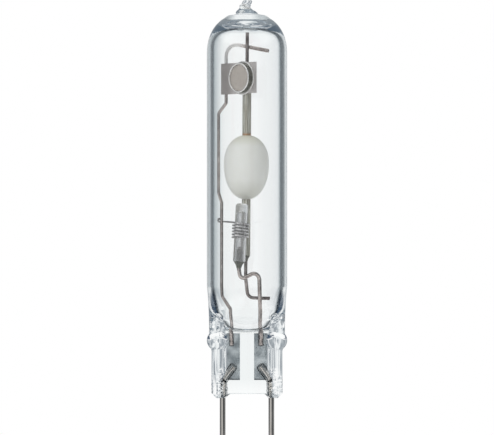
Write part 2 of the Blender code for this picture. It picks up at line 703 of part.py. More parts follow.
def add_getter(steel, powder):
    """The strip lies against the frame wire at one end and carries the open cup on its front."""
    top_x = frame_top_inset - cavity_radius
    weld = Vector((top_x, frame_depth, getter_height))
    plate = Matrix.Translation(weld) @ Matrix.Rotation(-getter_turn, 4, "Z")
    frame = add_frame("getter_plate", plate)
    front = -(frame_diameter / 2 + weld_gap + strip_thickness)
    back = front + strip_thickness
    left = -strip_overhang
    right = left + strip_length
    flap = Vector((-math.cos(strip_flap_turn), math.sin(-strip_flap_turn), 0)) * strip_flap
    bend = left + strip_flap
    outline = [(bend, front), (right, front), (right, back), (bend, back),
               (bend + flap.x, back + flap.y), (bend + flap.x, front + flap.y)]
    extruded("getter_strip", outline, -strip_width / 2, strip_width / 2, steel, frame)
    cup_frame = (Matrix.Translation((right - cup_inset, front - weld_gap, 0))
                 @ Matrix.Rotation(math.pi / 2, 4, "X"))
    holder = add_frame("getter_cup_axis", plate @ cup_frame)
    inner = cup_radius - cup_lip
    foot, mouth = cup_radius + cup_flange, cup_radius - cup_taper
    shell = [(0, 0), (foot, 0), (foot, cup_flange_thickness), (cup_radius, cup_flange_thickness),
             (mouth, cup_depth - cup_wall), (mouth - cup_wall, cup_depth), (inner, cup_depth),
             (inner, cup_wall), (0, cup_wall)]
    turned("getter_cup", shell, steel, holder, tube_facets)
    fill, bed = inner - seal_gap, cup_wall + seal_gap
    middle = powder_depth - cup_wall / 2
    grains = [(0, bed), (fill, bed), (fill, powder_depth), (powder_hollow * fill, middle), (0, middle)]
    turned("getter_powder", grains, powder, holder, tube_facets)


clear_scene()

quartz = finish("clear_quartz", (0.95, 0.97, 0.98), 0.02, transmission=1.0)
alumina = finish("translucent_alumina", (0.79, 0.79, 0.74), 0.45, transmission=0.3)
igniter_ceramic = finish("grey_alumina", (0.55, 0.55, 0.53), 0.4, transmission=0.3)
pin_metal = finish("drawn_pin_metal", (0.47, 0.45, 0.42), 0.25, 1.0)
foil_metal = finish("rolled_foil", (0.36, 0.38, 0.4), 0.4, 1.0)
niobium = finish("niobium_wire", (0.27, 0.25, 0.25), 0.4, 1.0)
lead_metal = finish("lead_wire", (0.42, 0.38, 0.38), 0.3, 1.0)
molybdenum = finish("molybdenum_rod", (0.35, 0.34, 0.34), 0.4, 1.0)
tungsten = finish("tungsten", (0.3, 0.3, 0.31), 0.45, 1.0)
frit = finish("dark_frit", (0.045, 0.048, 0.026), 0.3)
mercury = finish("mercury", (0.75, 0.75, 0.76), 0.05, 1.0)
salt = finish("halide_salt", (0.62, 0.55, 0.3), 0.6)
plated_steel = finish("plated_steel", (0.5, 0.48, 0.47), 0.3, 1.0)
getter_grains = finish("getter_powder", (0.36, 0.32, 0.3), 0.9)

bulb = add_bulb(quartz)
frame_wire_path, stem_wire_path = frame_path(), stem_path()
add_seals(bulb, pin_metal, foil_metal,
          {"left": (frame_wire_path, frame_diameter), "right": (stem_wire_path, stem_diameter)})
wire("frame_wire", frame_wire_path, frame_diameter, lead_metal)
wire("stem_wire", stem_wire_path, stem_diameter, lead_metal)
upper_wire = add_burner(alumina, tungsten, niobium, molybdenum, frit, mercury, salt)
dimple = [upper_wire[0].lerp(upper_wire[1], 0.6), upper_wire[1] + up * seal_gap]
modify(bulb, wire_tool("tip_dimple_cutter", dimple, feedthrough_diameter + 2 * seal_gap), "DIFFERENCE")
add_igniter(igniter_ceramic, frit)
wire("ignition_coil", coil_path(), coil_wire, lead_metal, 1)
add_getter(plated_steel, getter_grains)
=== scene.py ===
"""Metal halide lamp, finished: a ceramic burner on bent wire leads, sealed in a clear quartz bulb.

+Z runs up the lamp to the bulb's melted tip, X runs through both contact pins and -Y is the front.
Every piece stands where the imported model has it, in metres.
"""

import math

import bmesh
import bpy
from mathutils import Matrix, Vector, noise


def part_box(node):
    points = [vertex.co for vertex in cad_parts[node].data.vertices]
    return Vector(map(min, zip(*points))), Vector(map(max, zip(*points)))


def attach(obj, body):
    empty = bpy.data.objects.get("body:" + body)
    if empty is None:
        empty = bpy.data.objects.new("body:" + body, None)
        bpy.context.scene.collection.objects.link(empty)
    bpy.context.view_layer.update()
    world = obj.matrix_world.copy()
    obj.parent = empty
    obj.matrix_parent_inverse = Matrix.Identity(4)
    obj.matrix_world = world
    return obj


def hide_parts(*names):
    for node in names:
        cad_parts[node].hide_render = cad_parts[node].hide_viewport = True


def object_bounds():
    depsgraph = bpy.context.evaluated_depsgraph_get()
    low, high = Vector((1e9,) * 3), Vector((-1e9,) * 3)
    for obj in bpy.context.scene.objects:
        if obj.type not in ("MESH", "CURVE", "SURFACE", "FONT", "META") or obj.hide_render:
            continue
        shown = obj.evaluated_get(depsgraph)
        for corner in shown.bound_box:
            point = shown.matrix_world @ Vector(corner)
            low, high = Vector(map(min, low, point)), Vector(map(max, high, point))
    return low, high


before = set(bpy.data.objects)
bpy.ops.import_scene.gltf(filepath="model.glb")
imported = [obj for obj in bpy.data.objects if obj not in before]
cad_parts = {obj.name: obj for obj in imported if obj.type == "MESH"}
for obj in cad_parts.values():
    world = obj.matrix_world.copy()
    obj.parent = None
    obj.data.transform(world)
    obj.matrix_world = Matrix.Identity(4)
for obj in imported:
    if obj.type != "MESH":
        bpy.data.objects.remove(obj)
cad_low, cad_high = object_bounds()
mm = 0.001
scene = bpy.context.scene
scene.view_settings.view_transform = "Standard"

# Camera: level with the lamp and straight in front of it, with a long lens. The lamp stands on its
# pins below the picture's lower edge, and its tip just reaches the upper edge.
eye_distance = 450 * mm
eye_height = 30.7 * mm
picture_width = 86.2 * mm
film_width = 36.0

lens = bpy.data.cameras.new("camera")
lens.sensor_width = film_width
lens.lens = film_width * eye_distance / picture_width
lens.clip_start = 10 * mm
camera = bpy.data.objects.new("camera", lens)
camera.location = (0, -eye_distance, eye_height)
camera.rotation_euler = (math.radians(90), 0, 0)
scene.collection.objects.link(camera)
scene.camera = camera

# Studio: a white room that shows its walls only in what mirrors or bends them. Metal shows grey flags
# between white boxes over a dim lower half, thin glass pale bands, and solid glass darker ones. What glass
# has mirrored more than once turns a plain grey. Ceramic and powder take an even, lower light.
room_tone = "FFFFFF"
below_tone = "606468"
steep_tone = "50555B"
thick_tone = "8E959B"
ambient_strength = 0.5
wall_tones = ((0.0, "D8DADC"), (0.03, "FFFFFF"), (0.1, "FFFFFF"), (0.16, "A4A7AA"), (0.28, "74777A"),
              (0.4, "9A9DA0"), (0.5, "C8CACC"), (0.62, "B8BABC"), (0.74, "96999C"), (0.86, "64676A"),
              (0.95, "54575A"), (1.0, "D8DADC"))
high_wall_tones = ((0.0, "8A8D90"), (0.08, "A0A3A6"), (0.12, "FFFFFF"), (0.19, "FFFFFF"), (0.24, "808386"),
                   (0.5, "B0B3B6"), (0.77, "74777A"), (0.81, "F4F5F6"), (0.87, "F4F5F6"), (0.92, "6C6F72"),
                   (1.0, "8A8D90"))
thin_glass_tones = ((0.36, "FDFDFD"), (0.395, "F8F9FA"), (0.414, "E6EAEC"), (0.44, "CBD1D4"),
                    (0.456, "C6CCCF"), (0.484, "FAFBFB"), (0.54, "FBFBFC"), (0.556, "D2D6D8"),
                    (0.574, "BCC1C4"), (0.594, "A8ADB1"), (0.612, "F2F4F5"))
solid_glass_tones = ((0.0, "F3F5F5"), (0.015, "F1F3F4"), (0.035, "D6DADD"), (0.06, "A0A7AD"),
                     (0.1, "8D949B"), (0.14, "DDE0E2"), (0.18, "D0D4D7"), (0.23, "8E979F"), (0.29, "4A5A6B"),
                     (0.4, "475564"), (0.48, "8B9299"), (0.7, "C3C7CA"), (1.0, "E8EAEB"))


def tone(code):
    """An sRGB hex colour as linear red, green, blue and a full alpha."""
    parts = [int(code[i:i + 2], 16) / 255 for i in (0, 2, 4)]
    return (*[p / 12.92 if p <= 0.04045 else ((p + 0.055) / 1.055) ** 2.4 for p in parts], 1.0)


def node(tree, kind, inputs=(), stops=(), **settings):
    """Add a shader node. Its inputs are numbers, hex colours, sockets or whole nodes, by name or in order,
    and a node gives its first output in use. The stops place a colour ramp's colours."""
    made = tree.nodes.new("ShaderNode" + kind)
    for name, value in settings.items():
        setattr(made, name, value)
    for name, value in inputs.items() if isinstance(inputs, dict) else enumerate(inputs):
        if isinstance(value, bpy.types.Node):
            value = [socket for socket in value.outputs if socket.enabled][0]
        if isinstance(value, bpy.types.NodeSocket):
            tree.links.new(value, made.inputs[name])
        else:
            made.inputs[name].default_value = tone(value) if isinstance(value, str) else value
    for i, (place, code) in enumerate(stops):
        elements = made.color_ramp.elements
        stop = elements[i] if i < len(elements) else elements.new(place)
        stop.position, stop.color = place, tone(code)
    return made


def looking_out(tree, ray):
    """The share of rays that look at the room itself: from the eye, off a mirror or through glass."""
    straight = node(tree, "Math", (ray["Is Camera Ray"], ray["Is Glossy Ray"]), operation="MAXIMUM")
    return node(tree, "Math", (straight, ray["Is Transmission Ray"]), operation="MAXIMUM")


room = bpy.data.worlds.new("studio")
room.use_nodes = True
tree = room.node_tree
tree.nodes.clear()
ray = node(tree, "LightPath").outputs
way = node(tree, "SeparateXYZ", [node(tree, "TexCoord").outputs["Generated"]]).outputs
bearing = node(tree, "Math", (way["X"], way["Y"]), operation="ARCTAN2")
turn_share = node(tree, "Math", (bearing, 1 / math.tau, 0.5), operation="MULTIPLY_ADD")
in_metal = node(tree, "ValToRGB", [turn_share], wall_tones)
high_walls = node(tree, "ValToRGB", [turn_share], high_wall_tones)
for start, end, beyond in ((0.12, 0.3, high_walls), (0.6, 0.9, room_tone), (0.05, -0.5, below_tone)):
    share = node(tree, "MapRange", (way["Z"], start, end), interpolation_type="SMOOTHSTEP")
    in_metal = node(tree, "Mix", {0: share, 6: in_metal, 7: beyond}, data_type="RGBA")
in_thin_glass = node(tree, "ValToRGB", [turn_share], thin_glass_tones)
off_axis = node(tree, "Math", [bearing], operation="ABSOLUTE")
off_share = node(tree, "Math", (off_axis, 1 / math.pi), operation="MULTIPLY")
in_solid_glass = node(tree, "ValToRGB", [off_share], solid_glass_tones)
tilt = node(tree, "Math", [way["Z"]], operation="ABSOLUTE")
steep = node(tree, "MapRange", (tilt, 0.62, 0.86), interpolation_type="SMOOTHSTEP")
in_solid_glass = node(tree, "Mix", {0: steep, 6: in_solid_glass, 7: steep_tone}, data_type="RGBA")

# A ray's count of mirrors and of glass skins tells what it came through: one mirror is metal unless one
# or two skins were crossed, and no mirror behind one or two skins is solid glass.
one_mirror = node(tree, "Math", (ray["Glossy Depth"], 1.0, 0.5), operation="COMPARE")
few_skins = node(tree, "Math", (ray["Transmission Depth"], 1.5, 1.0), operation="COMPARE")
other_skins = node(tree, "Math", (1.0, few_skins), operation="SUBTRACT")
off_metal = node(tree, "Math", (one_mirror, other_skins), operation="MULTIPLY")
no_mirror = node(tree, "Math", (ray["Glossy Depth"], 0.5), operation="LESS_THAN")
solid_glass = node(tree, "Math", (no_mirror, few_skins), operation="MULTIPLY")
many_mirrors = node(tree, "Math", (ray["Glossy Depth"], 1.5), operation="GREATER_THAN")
view = in_thin_glass
for share, colour in ((solid_glass, in_solid_glass), (off_metal, in_metal), (many_mirrors, thick_tone),
                      (ray["Is Camera Ray"], room_tone)):
    view = node(tree, "Mix", {0: share, 6: view, 7: colour}, data_type="RGBA")
seen = node(tree, "Background", (view, 1.0))
ambient = node(tree, "Background", (room_tone, ambient_strength))
direct = node(tree, "Math", (ray["Diffuse Depth"], 0.5), operation="LESS_THAN")
shows = node(tree, "Math", (looking_out(tree, ray), direct), operation="MULTIPLY")
node(tree, "OutputWorld", [node(tree, "MixShader", (shows, ambient, seen))])
scene.world = room

# Three soft boxes: a large one high on the left, a weaker one on the right and one behind. They show in no
# glass, because a real one would stand behind a diffuser as wide as the room.
boxes = (("key_box", (-0.42, -0.40, 0.34), 0.36, 1.75), ("fill_box", (0.45, -0.34, 0.20), 0.34, 0.6),
         ("back_box", (-0.10, 0.50, 0.30), 0.36, 0.5))
for name, place, side, power in boxes:
    box_light = bpy.data.lights.new(name, "AREA")
    box_light.shape = "SQUARE"
    box_light.size = side
    box_light.energy = power
    lamp = bpy.data.objects.new(name, box_light)
    lamp.location = place
    lamp.rotation_euler = (Vector((0, 0, eye_height)) - Vector(place)).to_track_quat("-Z", "Y").to_euler()
    lamp.visible_camera = lamp.visible_transmission = lamp.visible_glossy = False
    scene.collection.objects.link(lamp)

# Floor: a pale matt sheet under the pins. Close to the lamp it takes its shadow; farther out it melts
# into the white room, and what glass and metal show there is the room. For rays through solid glass the
# sheet's sides glow a painted slate grey, as painted shade in the glass.
floor_radius = 900 * mm
floor_tone = "F4F5F5"
shadow_reach = 14 * mm
floor_fade = 60 * mm
floor_glow = 0.6
floor_glass_shade_tone = "3C4E62"
dark_side_start, dark_side_end = 26 * mm, 36 * mm


def piece(name, bm, *materials, smooth_angle=35):
    """Turn a finished bmesh into an object at the origin, smooth but for its sharp edges."""
    bmesh.ops.remove_doubles(bm, verts=bm.verts, dist=0.0002 * mm)
    mesh = bpy.data.meshes.new(name)
    bm.to_mesh(mesh)
    bm.free()
    mesh.shade_smooth()
    mesh.set_sharp_from_angle(angle=math.radians(smooth_angle))
    for material in materials:
        mesh.materials.append(material)
    thing = bpy.data.objects.new(name, mesh)
    scene.collection.objects.link(thing)
    return thing


def blank(name):
    """A material with an empty node tree, and the place on the object that its patterns follow."""
    material = bpy.data.materials.new(name)
    material.use_nodes = True
    material.node_tree.nodes.clear()
    return material, material.node_tree, node(material.node_tree, "TexCoord").outputs["Object"]


floor_paint, tree, spot = blank("matt_floor_sheet")
ray = node(tree, "LightPath").outputs
reach = node(tree, "VectorMath", [spot], operation="LENGTH")
fade = node(tree, "MapRange", (reach, shadow_reach, floor_fade, floor_glow, 1.0),
            interpolation_type="SMOOTHSTEP")
glow_share = node(tree, "Math", (looking_out(tree, ray), fade), operation="MULTIPLY")
solid_glass = node(tree, "Math", (ray["Transmission Depth"], 1.5, 1.0), operation="COMPARE")
close = node(tree, "MapRange", (reach, 2 * floor_fade, 3 * floor_fade, 1.0, 0.0))
across = node(tree, "Math", [node(tree, "SeparateXYZ", [spot]).outputs["X"]], operation="ABSOLUTE")
aside = node(tree, "MapRange", (across, dark_side_start, dark_side_end))
to_side = node(tree, "Math", (close, aside), operation="MULTIPLY")
# Painted shade: rays through solid glass see the sheet's sides in slate grey.
glass_shade_share = node(tree, "Math", (solid_glass, to_side), operation="MULTIPLY")
glow_tint = node(tree, "Mix", {0: glass_shade_share, 6: room_tone, 7: floor_glass_shade_tone}, data_type="RGBA")
glow = node(tree, "Emission", (glow_tint, 1.0))
sheet = node(tree, "MixShader", (glow_share, node(tree, "BsdfDiffuse", [floor_tone]), glow))
in_air = node(tree, "Math", (ray["Transmission Depth"], 0.5), operation="LESS_THAN")
off_mirror = node(tree, "Math", (in_air, ray["Is Glossy Ray"]), operation="MULTIPLY")
gone = 0.0
for rays, start, end in ((ray["Is Transmission Ray"], 3 * floor_fade, 4 * floor_fade),
                         (off_mirror, floor_fade / 2, floor_fade)):
    past = node(tree, "Math", (rays, node(tree, "MapRange", (reach, start, end))), operation="MULTIPLY")
    gone = node(tree, "Math", (gone, past), operation="MAXIMUM")
sheet = node(tree, "MixShader", (gone, sheet, node(tree, "BsdfTransparent", ["FFFFFF"])))
node(tree, "OutputMaterial", [sheet])

bm = bmesh.new()
bmesh.ops.create_circle(bm, cap_ends=True, segments=96, radius=floor_radius)
bmesh.ops.translate(bm, verts=bm.verts, vec=(0, 0, cad_low.z))
floor = piece("floor", bm, floor_paint)

# Contact pins: two straight pins of hard-drawn wire, 1 mm thick. Their lower ends are chamfered to find
# the holder, and their upper ends bend in to lie on the foils inside the pressed glass.
pin_radius = 0.5 * mm
pin_x = 4.25 * mm
pin_bend_height = 2.2 * mm
pin_bend_radius = 0.6 * mm
pin_top = Vector((2.31 * mm, 0, 4.8 * mm))
pin_chamfer = 0.25 * mm
pin_end_round = 0.14 * mm
pin_tone = "DCD8D2"
pin_dark_tone = "A39F9B"
draw_line_width = 0.05 * mm


def bent(corners, radii, steps=10):
    """The path of a wire bent at each inner corner, with an arc of that corner's radius."""
    path = [Vector(corners[0])]
    for before, corner, after, radius in zip(corners, corners[1:], corners[2:], radii):
        corner = Vector(corner)
        back, ahead = Vector(before) - corner, Vector(after) - corner
        half_turn = (math.pi - back.angle(ahead)) / 2
        reach = min(radius * math.tan(half_turn), 0.48 * back.length, 0.48 * ahead.length)
        start, end = corner + back.normalized() * reach, corner + ahead.normalized() * reach
        inward = (start + end) / 2 - corner
        centre = corner + inward.normalized() * (reach / math.sin(half_turn))
        arm = start - centre
        turn = arm.rotation_difference(end - centre)
        for step in range(steps + 1):
            partial = turn.copy()
            partial.angle = turn.angle * step / steps
            path.append(centre + partial @ arm)
    path.append(Vector(corners[-1]))
    return path


def drawn(path, radius, sides=24, start_round=0.0, end_round=0.0, start_segments=3):
    """A round wire: a disc pushed along the path and turned with it, its end edges rounded."""
    bm = bmesh.new()
    heading = (path[1] - path[0]).normalized()
    lie = Vector((0, 0, -1)).rotation_difference(-heading).to_matrix().to_4x4()
    bmesh.ops.create_circle(bm, cap_ends=True, segments=sides, radius=radius,
                            matrix=Matrix.Translation(path[0]) @ lie)
    first = last = list(bm.faces)[0]
    for i in range(1, len(path)):
        ahead = (path[min(i + 1, len(path) - 1)] - path[i - 1]).normalized()
        if i == len(path) - 1:
            ahead = (path[i] - path[i - 1]).normalized()
        grown = bmesh.ops.extrude_face_region(bm, geom=[last])["geom"]
        last = [item for item in grown if isinstance(item, bmesh.types.BMFace)][0]
        turn = heading.rotation_difference(ahead).to_matrix().to_4x4()
        move = Matrix.Translation(path[i]) @ turn @ Matrix.Translation(-path[i - 1])
        bmesh.ops.transform(bm, matrix=move, verts=last.verts)
        heading = ahead
    for face, size, segments in ((first, start_round, start_segments), (last, end_round, 3)):
        if size:
            bmesh.ops.bevel(bm, geom=list(face.edges), offset=size, segments=segments, affect="EDGES",
                            profile=0.5, material=-1)
    bmesh.ops.recalc_face_normals(bm, faces=bm.faces)
    return bm


def grained(name, size, colours, shader, detail=2.0, stretch=1.0, wear=None, bump=None, patch=None):
    """A material whose one noise gives its tint and, if asked, its roughness and its relief.

    Size is the grain's width and stretch its scale along Z. A patch is a second colour, how much rougher
    it is, and the bounds on X or Z past which it lies.
    """
    material, tree, spot = blank(name)
    along = spot if stretch == 1.0 else node(tree, "Mapping", {"Vector": spot, "Scale": (1, 1, stretch)})
    grain = node(tree, "TexNoise", {"Vector": along, "Scale": 1 / size, "Detail": detail})
    made = dict(shader)
    made["Base Color"] = colours if isinstance(colours, str) else node(tree, "ValToRGB", [grain], colours)
    if wear:
        made["Roughness"] = node(tree, "MapRange", (grain, 0.0, 1.0, *wear))
    if bump:
        made["Normal"] = node(tree, "Bump", {"Height": grain, "Strength": bump[0], "Distance": bump[1]})
    if patch:
        colour, rougher, bounds = patch
        share = 1.0
        for axis, (start, end) in bounds.items():
            place = node(tree, "SeparateXYZ", [spot]).outputs[axis]
            past = node(tree, "MapRange", (place, start, end))
            share = node(tree, "Math", (share, past), operation="MULTIPLY")
        made["Base Color"] = node(tree, "Mix", {0: share, 6: made["Base Color"], 7: colour},
                                  data_type="RGBA")
        if rougher:
            made["Roughness"] = node(tree, "Math", (share, rougher, made["Roughness"]),
                                     operation="MULTIPLY_ADD")
    node(tree, "OutputMaterial", [node(tree, "BsdfPrincipled", made)])
    return material


def dress(node_name, slot, name, bm, *materials, smooth_angle=35):
    """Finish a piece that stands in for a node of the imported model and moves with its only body."""
    thing = piece(name, bm, *materials, smooth_angle=smooth_angle)
    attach(thing, "root")
    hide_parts(node_name)


def pin_path(side, foot):
    """A pin's middle line, from its foot up to its bend and in to the foil."""
    return bent([(side * pin_x, 0, foot), (side * pin_x, 0, pin_bend_height),
                 (side * pin_top.x, 0, pin_top.z)], [pin_bend_radius])


# Drawn nickel wire: bright and hard, with fine lines along the way it was pulled through the die.
drawn_nickel = grained("drawn_nickel_wire", draw_line_width, ((0.3, pin_dark_tone), (0.62, pin_tone)),
                       {"Metallic": 1.0}, detail=3.0, stretch=0.02, wear=(0.06, 0.14),
                       bump=(0.12, 0.01 * mm))

for side, word in ((-1, "left"), (1, "right")):
    pin = drawn(pin_path(side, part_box(f"{word}_contact_pin")[0].z), pin_radius, 32, pin_chamfer,
                pin_end_round, start_segments=1)
    dress(f"{word}_contact_pin", "pin_metal", f"{word}_pin", pin, drawn_nickel)

# Sealing foils: molybdenum rolled thinner than paper, with both long edges etched to a feather so that
# quartz can wet them. Pressing buckles them slightly, and the light and shade the buckles would catch are
# painted into their grey as soft clouds. The foil is darker along its lower edge.
foil_buckle = 0.012 * mm
foil_cloud = 2.2 * mm
foil_feather = 0.4
foil_sheen_tone = "D2D9DC"
foil_shade_tone = "8E979C"
foil_low_edge_tone = "4A5258"
foil_low, foil_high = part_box("left_sealing_foil")

rolled_foil, tree, spot = blank("rolled_molybdenum_foil")
# Soft clouds of painted sheen and shade, where the buckles would catch the light.
cloud = node(tree, "TexNoise", {"Vector": spot, "Scale": 1 / foil_cloud, "Detail": 2.0})
tint = node(tree, "ValToRGB", [cloud], ((0.36, foil_shade_tone), (0.66, foil_sheen_tone)))
height = node(tree, "SeparateXYZ", [spot]).outputs["Z"]
# Darker along the lower edge.
low_edge_share = node(tree, "MapRange", (height, foil_low.z + 0.3 * mm, foil_low.z + 0.1 * mm))
tint = node(tree, "Mix", {0: low_edge_share, 6: tint, 7: foil_low_edge_tone}, data_type="RGBA")
along = node(tree, "Mapping", {"Vector": spot, "Scale": (1, 1, 0.06)})
lines = node(tree, "TexNoise", {"Vector": along, "Scale": 1 / draw_line_width})
relief = node(tree, "Bump", {"Height": lines, "Strength": 0.15, "Distance": 0.01 * mm})
skin = node(tree, "BsdfPrincipled", {"Base Color": tint, "Metallic": 0.75, "Roughness": 0.42,
                                     "Normal": relief})
node(tree, "OutputMaterial", [skin])

for word in ("left", "right"):
    low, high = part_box(f"{word}_sealing_foil")
    middle, half = (low + high) / 2, (high - low) / 2
    bm = bmesh.new()
    lie = Matrix.Translation(middle) @ Matrix.Rotation(math.pi / 2, 4, "X")
    bmesh.ops.create_grid(bm, x_segments=10, y_segments=36, size=1.0,
                          matrix=lie @ Matrix.Diagonal((half.x, half.z, 1, 1)))
    bmesh.ops.recalc_face_normals(bm, faces=bm.faces)
    bmesh.ops.solidify(bm, geom=list(bm.faces), thickness=2 * half.y)
    mean_y = sum((vert.co.y for vert in bm.verts)) / len(bm.verts)
    for vert in bm.verts:
        across = abs(vert.co.x - middle.x) / half.x
        thickness = min(1.0, foil_feather + 1.8 * (1 - across))
        front = -1 if vert.co.y < mean_y else 1
        wave = foil_buckle * noise.noise(vert.co / foil_cloud * 2)
        vert.co.y = middle.y + front * (half.y - foil_buckle) * thickness + wave
    dress(f"{word}_sealing_foil", "foil_metal", f"{word}_foil", bm, rolled_foil)

# Frame wire: the long lead. It rises from the left foil, steps out to clear the burner, carries the
# getter and crosses behind the burner's upper wire, where it is welded. It is bent, not cast, so each
# corner is an arc and the metal keeps its brown-grey annealed skin. Its end above the getter is painted
# near white and made rougher, as a painted highlight.
bulb_radius = 7.0 * mm
bulb_wall = 1.0 * mm
cavity_radius = bulb_radius - bulb_wall
weld_gap = 0.05 * mm
light_centre = 39.5 * mm
burner_axis = (Matrix.Translation((-0.1 * mm, 0, light_centre))
               @ Matrix.Rotation(math.radians(0.39), 4, "Y"))
lead_radius = 0.3 * mm
lead_round = 0.1 * mm
feedthrough_radius = 0.3 * mm
foil_x = (foil_low.x + foil_high.x) / 2
lead_foot_x = foil_x - 0.26 * mm
lead_exit_x = foil_x - 0.4 * mm
slant_low = Vector((foil_x - 0.53 * mm, 0, 14.8 * mm))
slant_top = 16.8 * mm
wire_low, wire_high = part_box("frame_wire")
lead_y = foil_low.y - weld_gap - lead_radius
frame_depth = wire_high.y - lead_radius
run_x, bow_x, neck_x = (inset - cavity_radius for inset in (1.43 * mm, 0.83 * mm, 2.28 * mm))
low_jog, high_jog = light_centre - 5.3 * mm, light_centre + 10.3 * mm
jog_half = 0.9 * mm
jog_bend = 0.7 * mm
arch_bend = 1.95 * mm
arch_top = wire_high.z - lead_radius
arch_reach = 3.8 * mm
arch_drop = 0.2
wire_light_tone = "C8BFBB"
wire_dark_tone = "958A86"
# Painted highlight: the wire's upper left end above the getter is near white.
wire_highlight_tone = "F8F5F3"
wire_highlight_from = {"Z": (56.5 * mm, 58.0 * mm), "X": (-0.4 * mm, -1.6 * mm)}
wire_skin_size = 1.2 * mm

annealed_wire = grained("annealed_lead_wire", wire_skin_size,
                        ((0.3, wire_dark_tone), (0.7, wire_light_tone)), {"Metallic": 1.0}, detail=4.0,
                        wear=(0.1, 0.2), bump=(0.05, 0.01 * mm),
                        patch=(wire_highlight_tone, 0.35, wire_highlight_from))


def on_burner(height):
    """A point on the burner's own axis, at a height from its light's centre."""
    return burner_axis @ Vector((0, 0, height))


crossing_x = on_burner(arch_top - light_centre).x
behind = feedthrough_radius + lead_radius + weld_gap
slant = (behind - frame_depth) / (crossing_x - neck_x)
corners = [(lead_foot_x, lead_y, wire_low.z), (slant_low.x, lead_y, slant_low.z),
           (run_x, frame_depth, slant_top), (run_x, frame_depth, low_jog - jog_half),
           (bow_x, frame_depth, low_jog + jog_half), (bow_x, frame_depth, high_jog - jog_half),
           (neck_x, frame_depth, high_jog + jog_half), (neck_x, frame_depth, arch_top),
           (arch_reach, behind + slant * (arch_reach - crossing_x),
            arch_top - arch_drop * (arch_reach - neck_x))]
bm = drawn(bent(corners, [jog_bend] * 6 + [arch_bend]), lead_radius, 20, lead_round, lead_round)
dress("frame_wire", "lead_metal", "frame_lead", bm, annealed_wire)

# Igniter: a closed tube of grey alumina beside the lower capillary. It leans a little and its lower end
# is sealed round the stem wire with dark frit, which shows through the translucent wall.
igniter_radius = 1.05 * mm
igniter_bore = 0.55 * mm
igniter_length = 10.05 * mm
igniter_end_wall = 1.4 * mm
igniter_corner = 0.5 * mm
igniter_foot_round = 0.1 * mm
igniter_bottom = 23.1 * mm
igniter_axis = (Matrix.Translation((-1.33 * mm, -2.305 * mm, igniter_bottom))
                @ Matrix.Rotation(math.radians(2.8), 4, "Y"))
igniter_tone = "EEEEEF"
igniter_grain = 0.25 * mm
stem_radius = 0.35 * mm


def turned(profile, closed=False, steps=64):
    """Spin a profile of (radius, height) points once round the axis."""
    bm = bmesh.new()
    corners = [bm.verts.new((radius, 0, height)) for radius, height in profile]
    ends = corners[1:] + (corners[:1] if closed else [])
    edges = [bm.edges.new(pair) for pair in zip(corners, ends)]
    bmesh.ops.spin(bm, geom=corners + edges, cent=(0, 0, 0), axis=(0, 0, 1), angle=math.tau,
                   steps=steps, use_merge=True)
    bmesh.ops.remove_doubles(bm, verts=bm.verts, dist=0.0005 * mm)
    bmesh.ops.recalc_face_normals(bm, faces=bm.faces)
    return bm


def arc(centre, radius, start, end, steps):
    """Points of a round in a profile, from one angle to another in degrees."""
    turns = [math.radians(start + (end - start) * step / steps) for step in range(steps + 1)]
    return [(centre[0] + radius * math.cos(t), centre[1] + radius * math.sin(t)) for t in turns]


# Translucent alumina, fired dense: light goes in and comes out soft and grey.
grey_alumina = grained("translucent_grey_alumina", igniter_grain, igniter_tone,
                       {"Roughness": 0.26, "Transmission Weight": 0.88, "IOR": 1.35}, detail=3.0,
                       bump=(0.08, 0.02 * mm))

bore_top = igniter_length - igniter_end_wall
shell = [(0, igniter_length)]
shell += arc((igniter_radius - igniter_corner, igniter_length - igniter_corner), igniter_corner, 90, 0, 8)
shell += arc((igniter_radius - igniter_foot_round, igniter_foot_round), igniter_foot_round, 0, -90, 3)
shell += [(igniter_bore, 0), (igniter_bore, bore_top - igniter_bore / 2), (igniter_bore / 2, bore_top),
          (0, bore_top)]
bm = turned(shell, steps=48)
bmesh.ops.transform(bm, matrix=igniter_axis, verts=bm.verts)
dress("igniter_tube", "igniter_ceramic", "igniter_sleeve", bm, grey_alumina)

# Frit seals: a glass paste melted where a wire enters a ceramic tube. It runs into the bore and hangs
# below the end in a small dark olive funnel with a wet shine.
frit_tone = "1F2110"
frit_edge_tone = "3A3C24"
frit_swirl = 0.4 * mm
frit_length = 1.0 * mm
frit_gap = 0.01 * mm
frit_room = 0.025 * mm
igniter_frit_drop = 1.2 * mm
sleeve_top = 2.2 * mm
capillary_radius = 0.765 * mm
capillary_bore = 0.37 * mm
capillary_reach = 15.4 * mm

melted_frit = grained("melted_frit_glass", frit_swirl, ((0.35, frit_tone), (0.75, frit_edge_tone)),
                      {"Roughness": 0.3, "IOR": 1.55, "Coat Weight": 0.15}, detail=3.0)

hole, sleeve, foot = stem_radius + frit_room, igniter_bore - frit_room, -igniter_frit_drop
seal = [(hole, sleeve_top), (sleeve - 0.08 * mm, sleeve_top), (sleeve, sleeve_top - 0.1 * mm),
        (sleeve, -frit_gap), (igniter_radius * 0.93, -frit_gap), (igniter_radius * 0.85, 0.12 * foot),
        (igniter_radius * 0.72, 0.3 * foot), (igniter_radius * 0.56, 0.52 * foot),
        (hole + 0.08 * mm, 0.8 * foot), (hole + 0.04 * mm, foot), (hole, foot)]
bm = turned(seal, closed=True, steps=40)
bmesh.ops.transform(bm, matrix=igniter_axis, verts=bm.verts)
dress("igniter_frit_seal", "frit", "igniter_frit", bm, melted_frit)

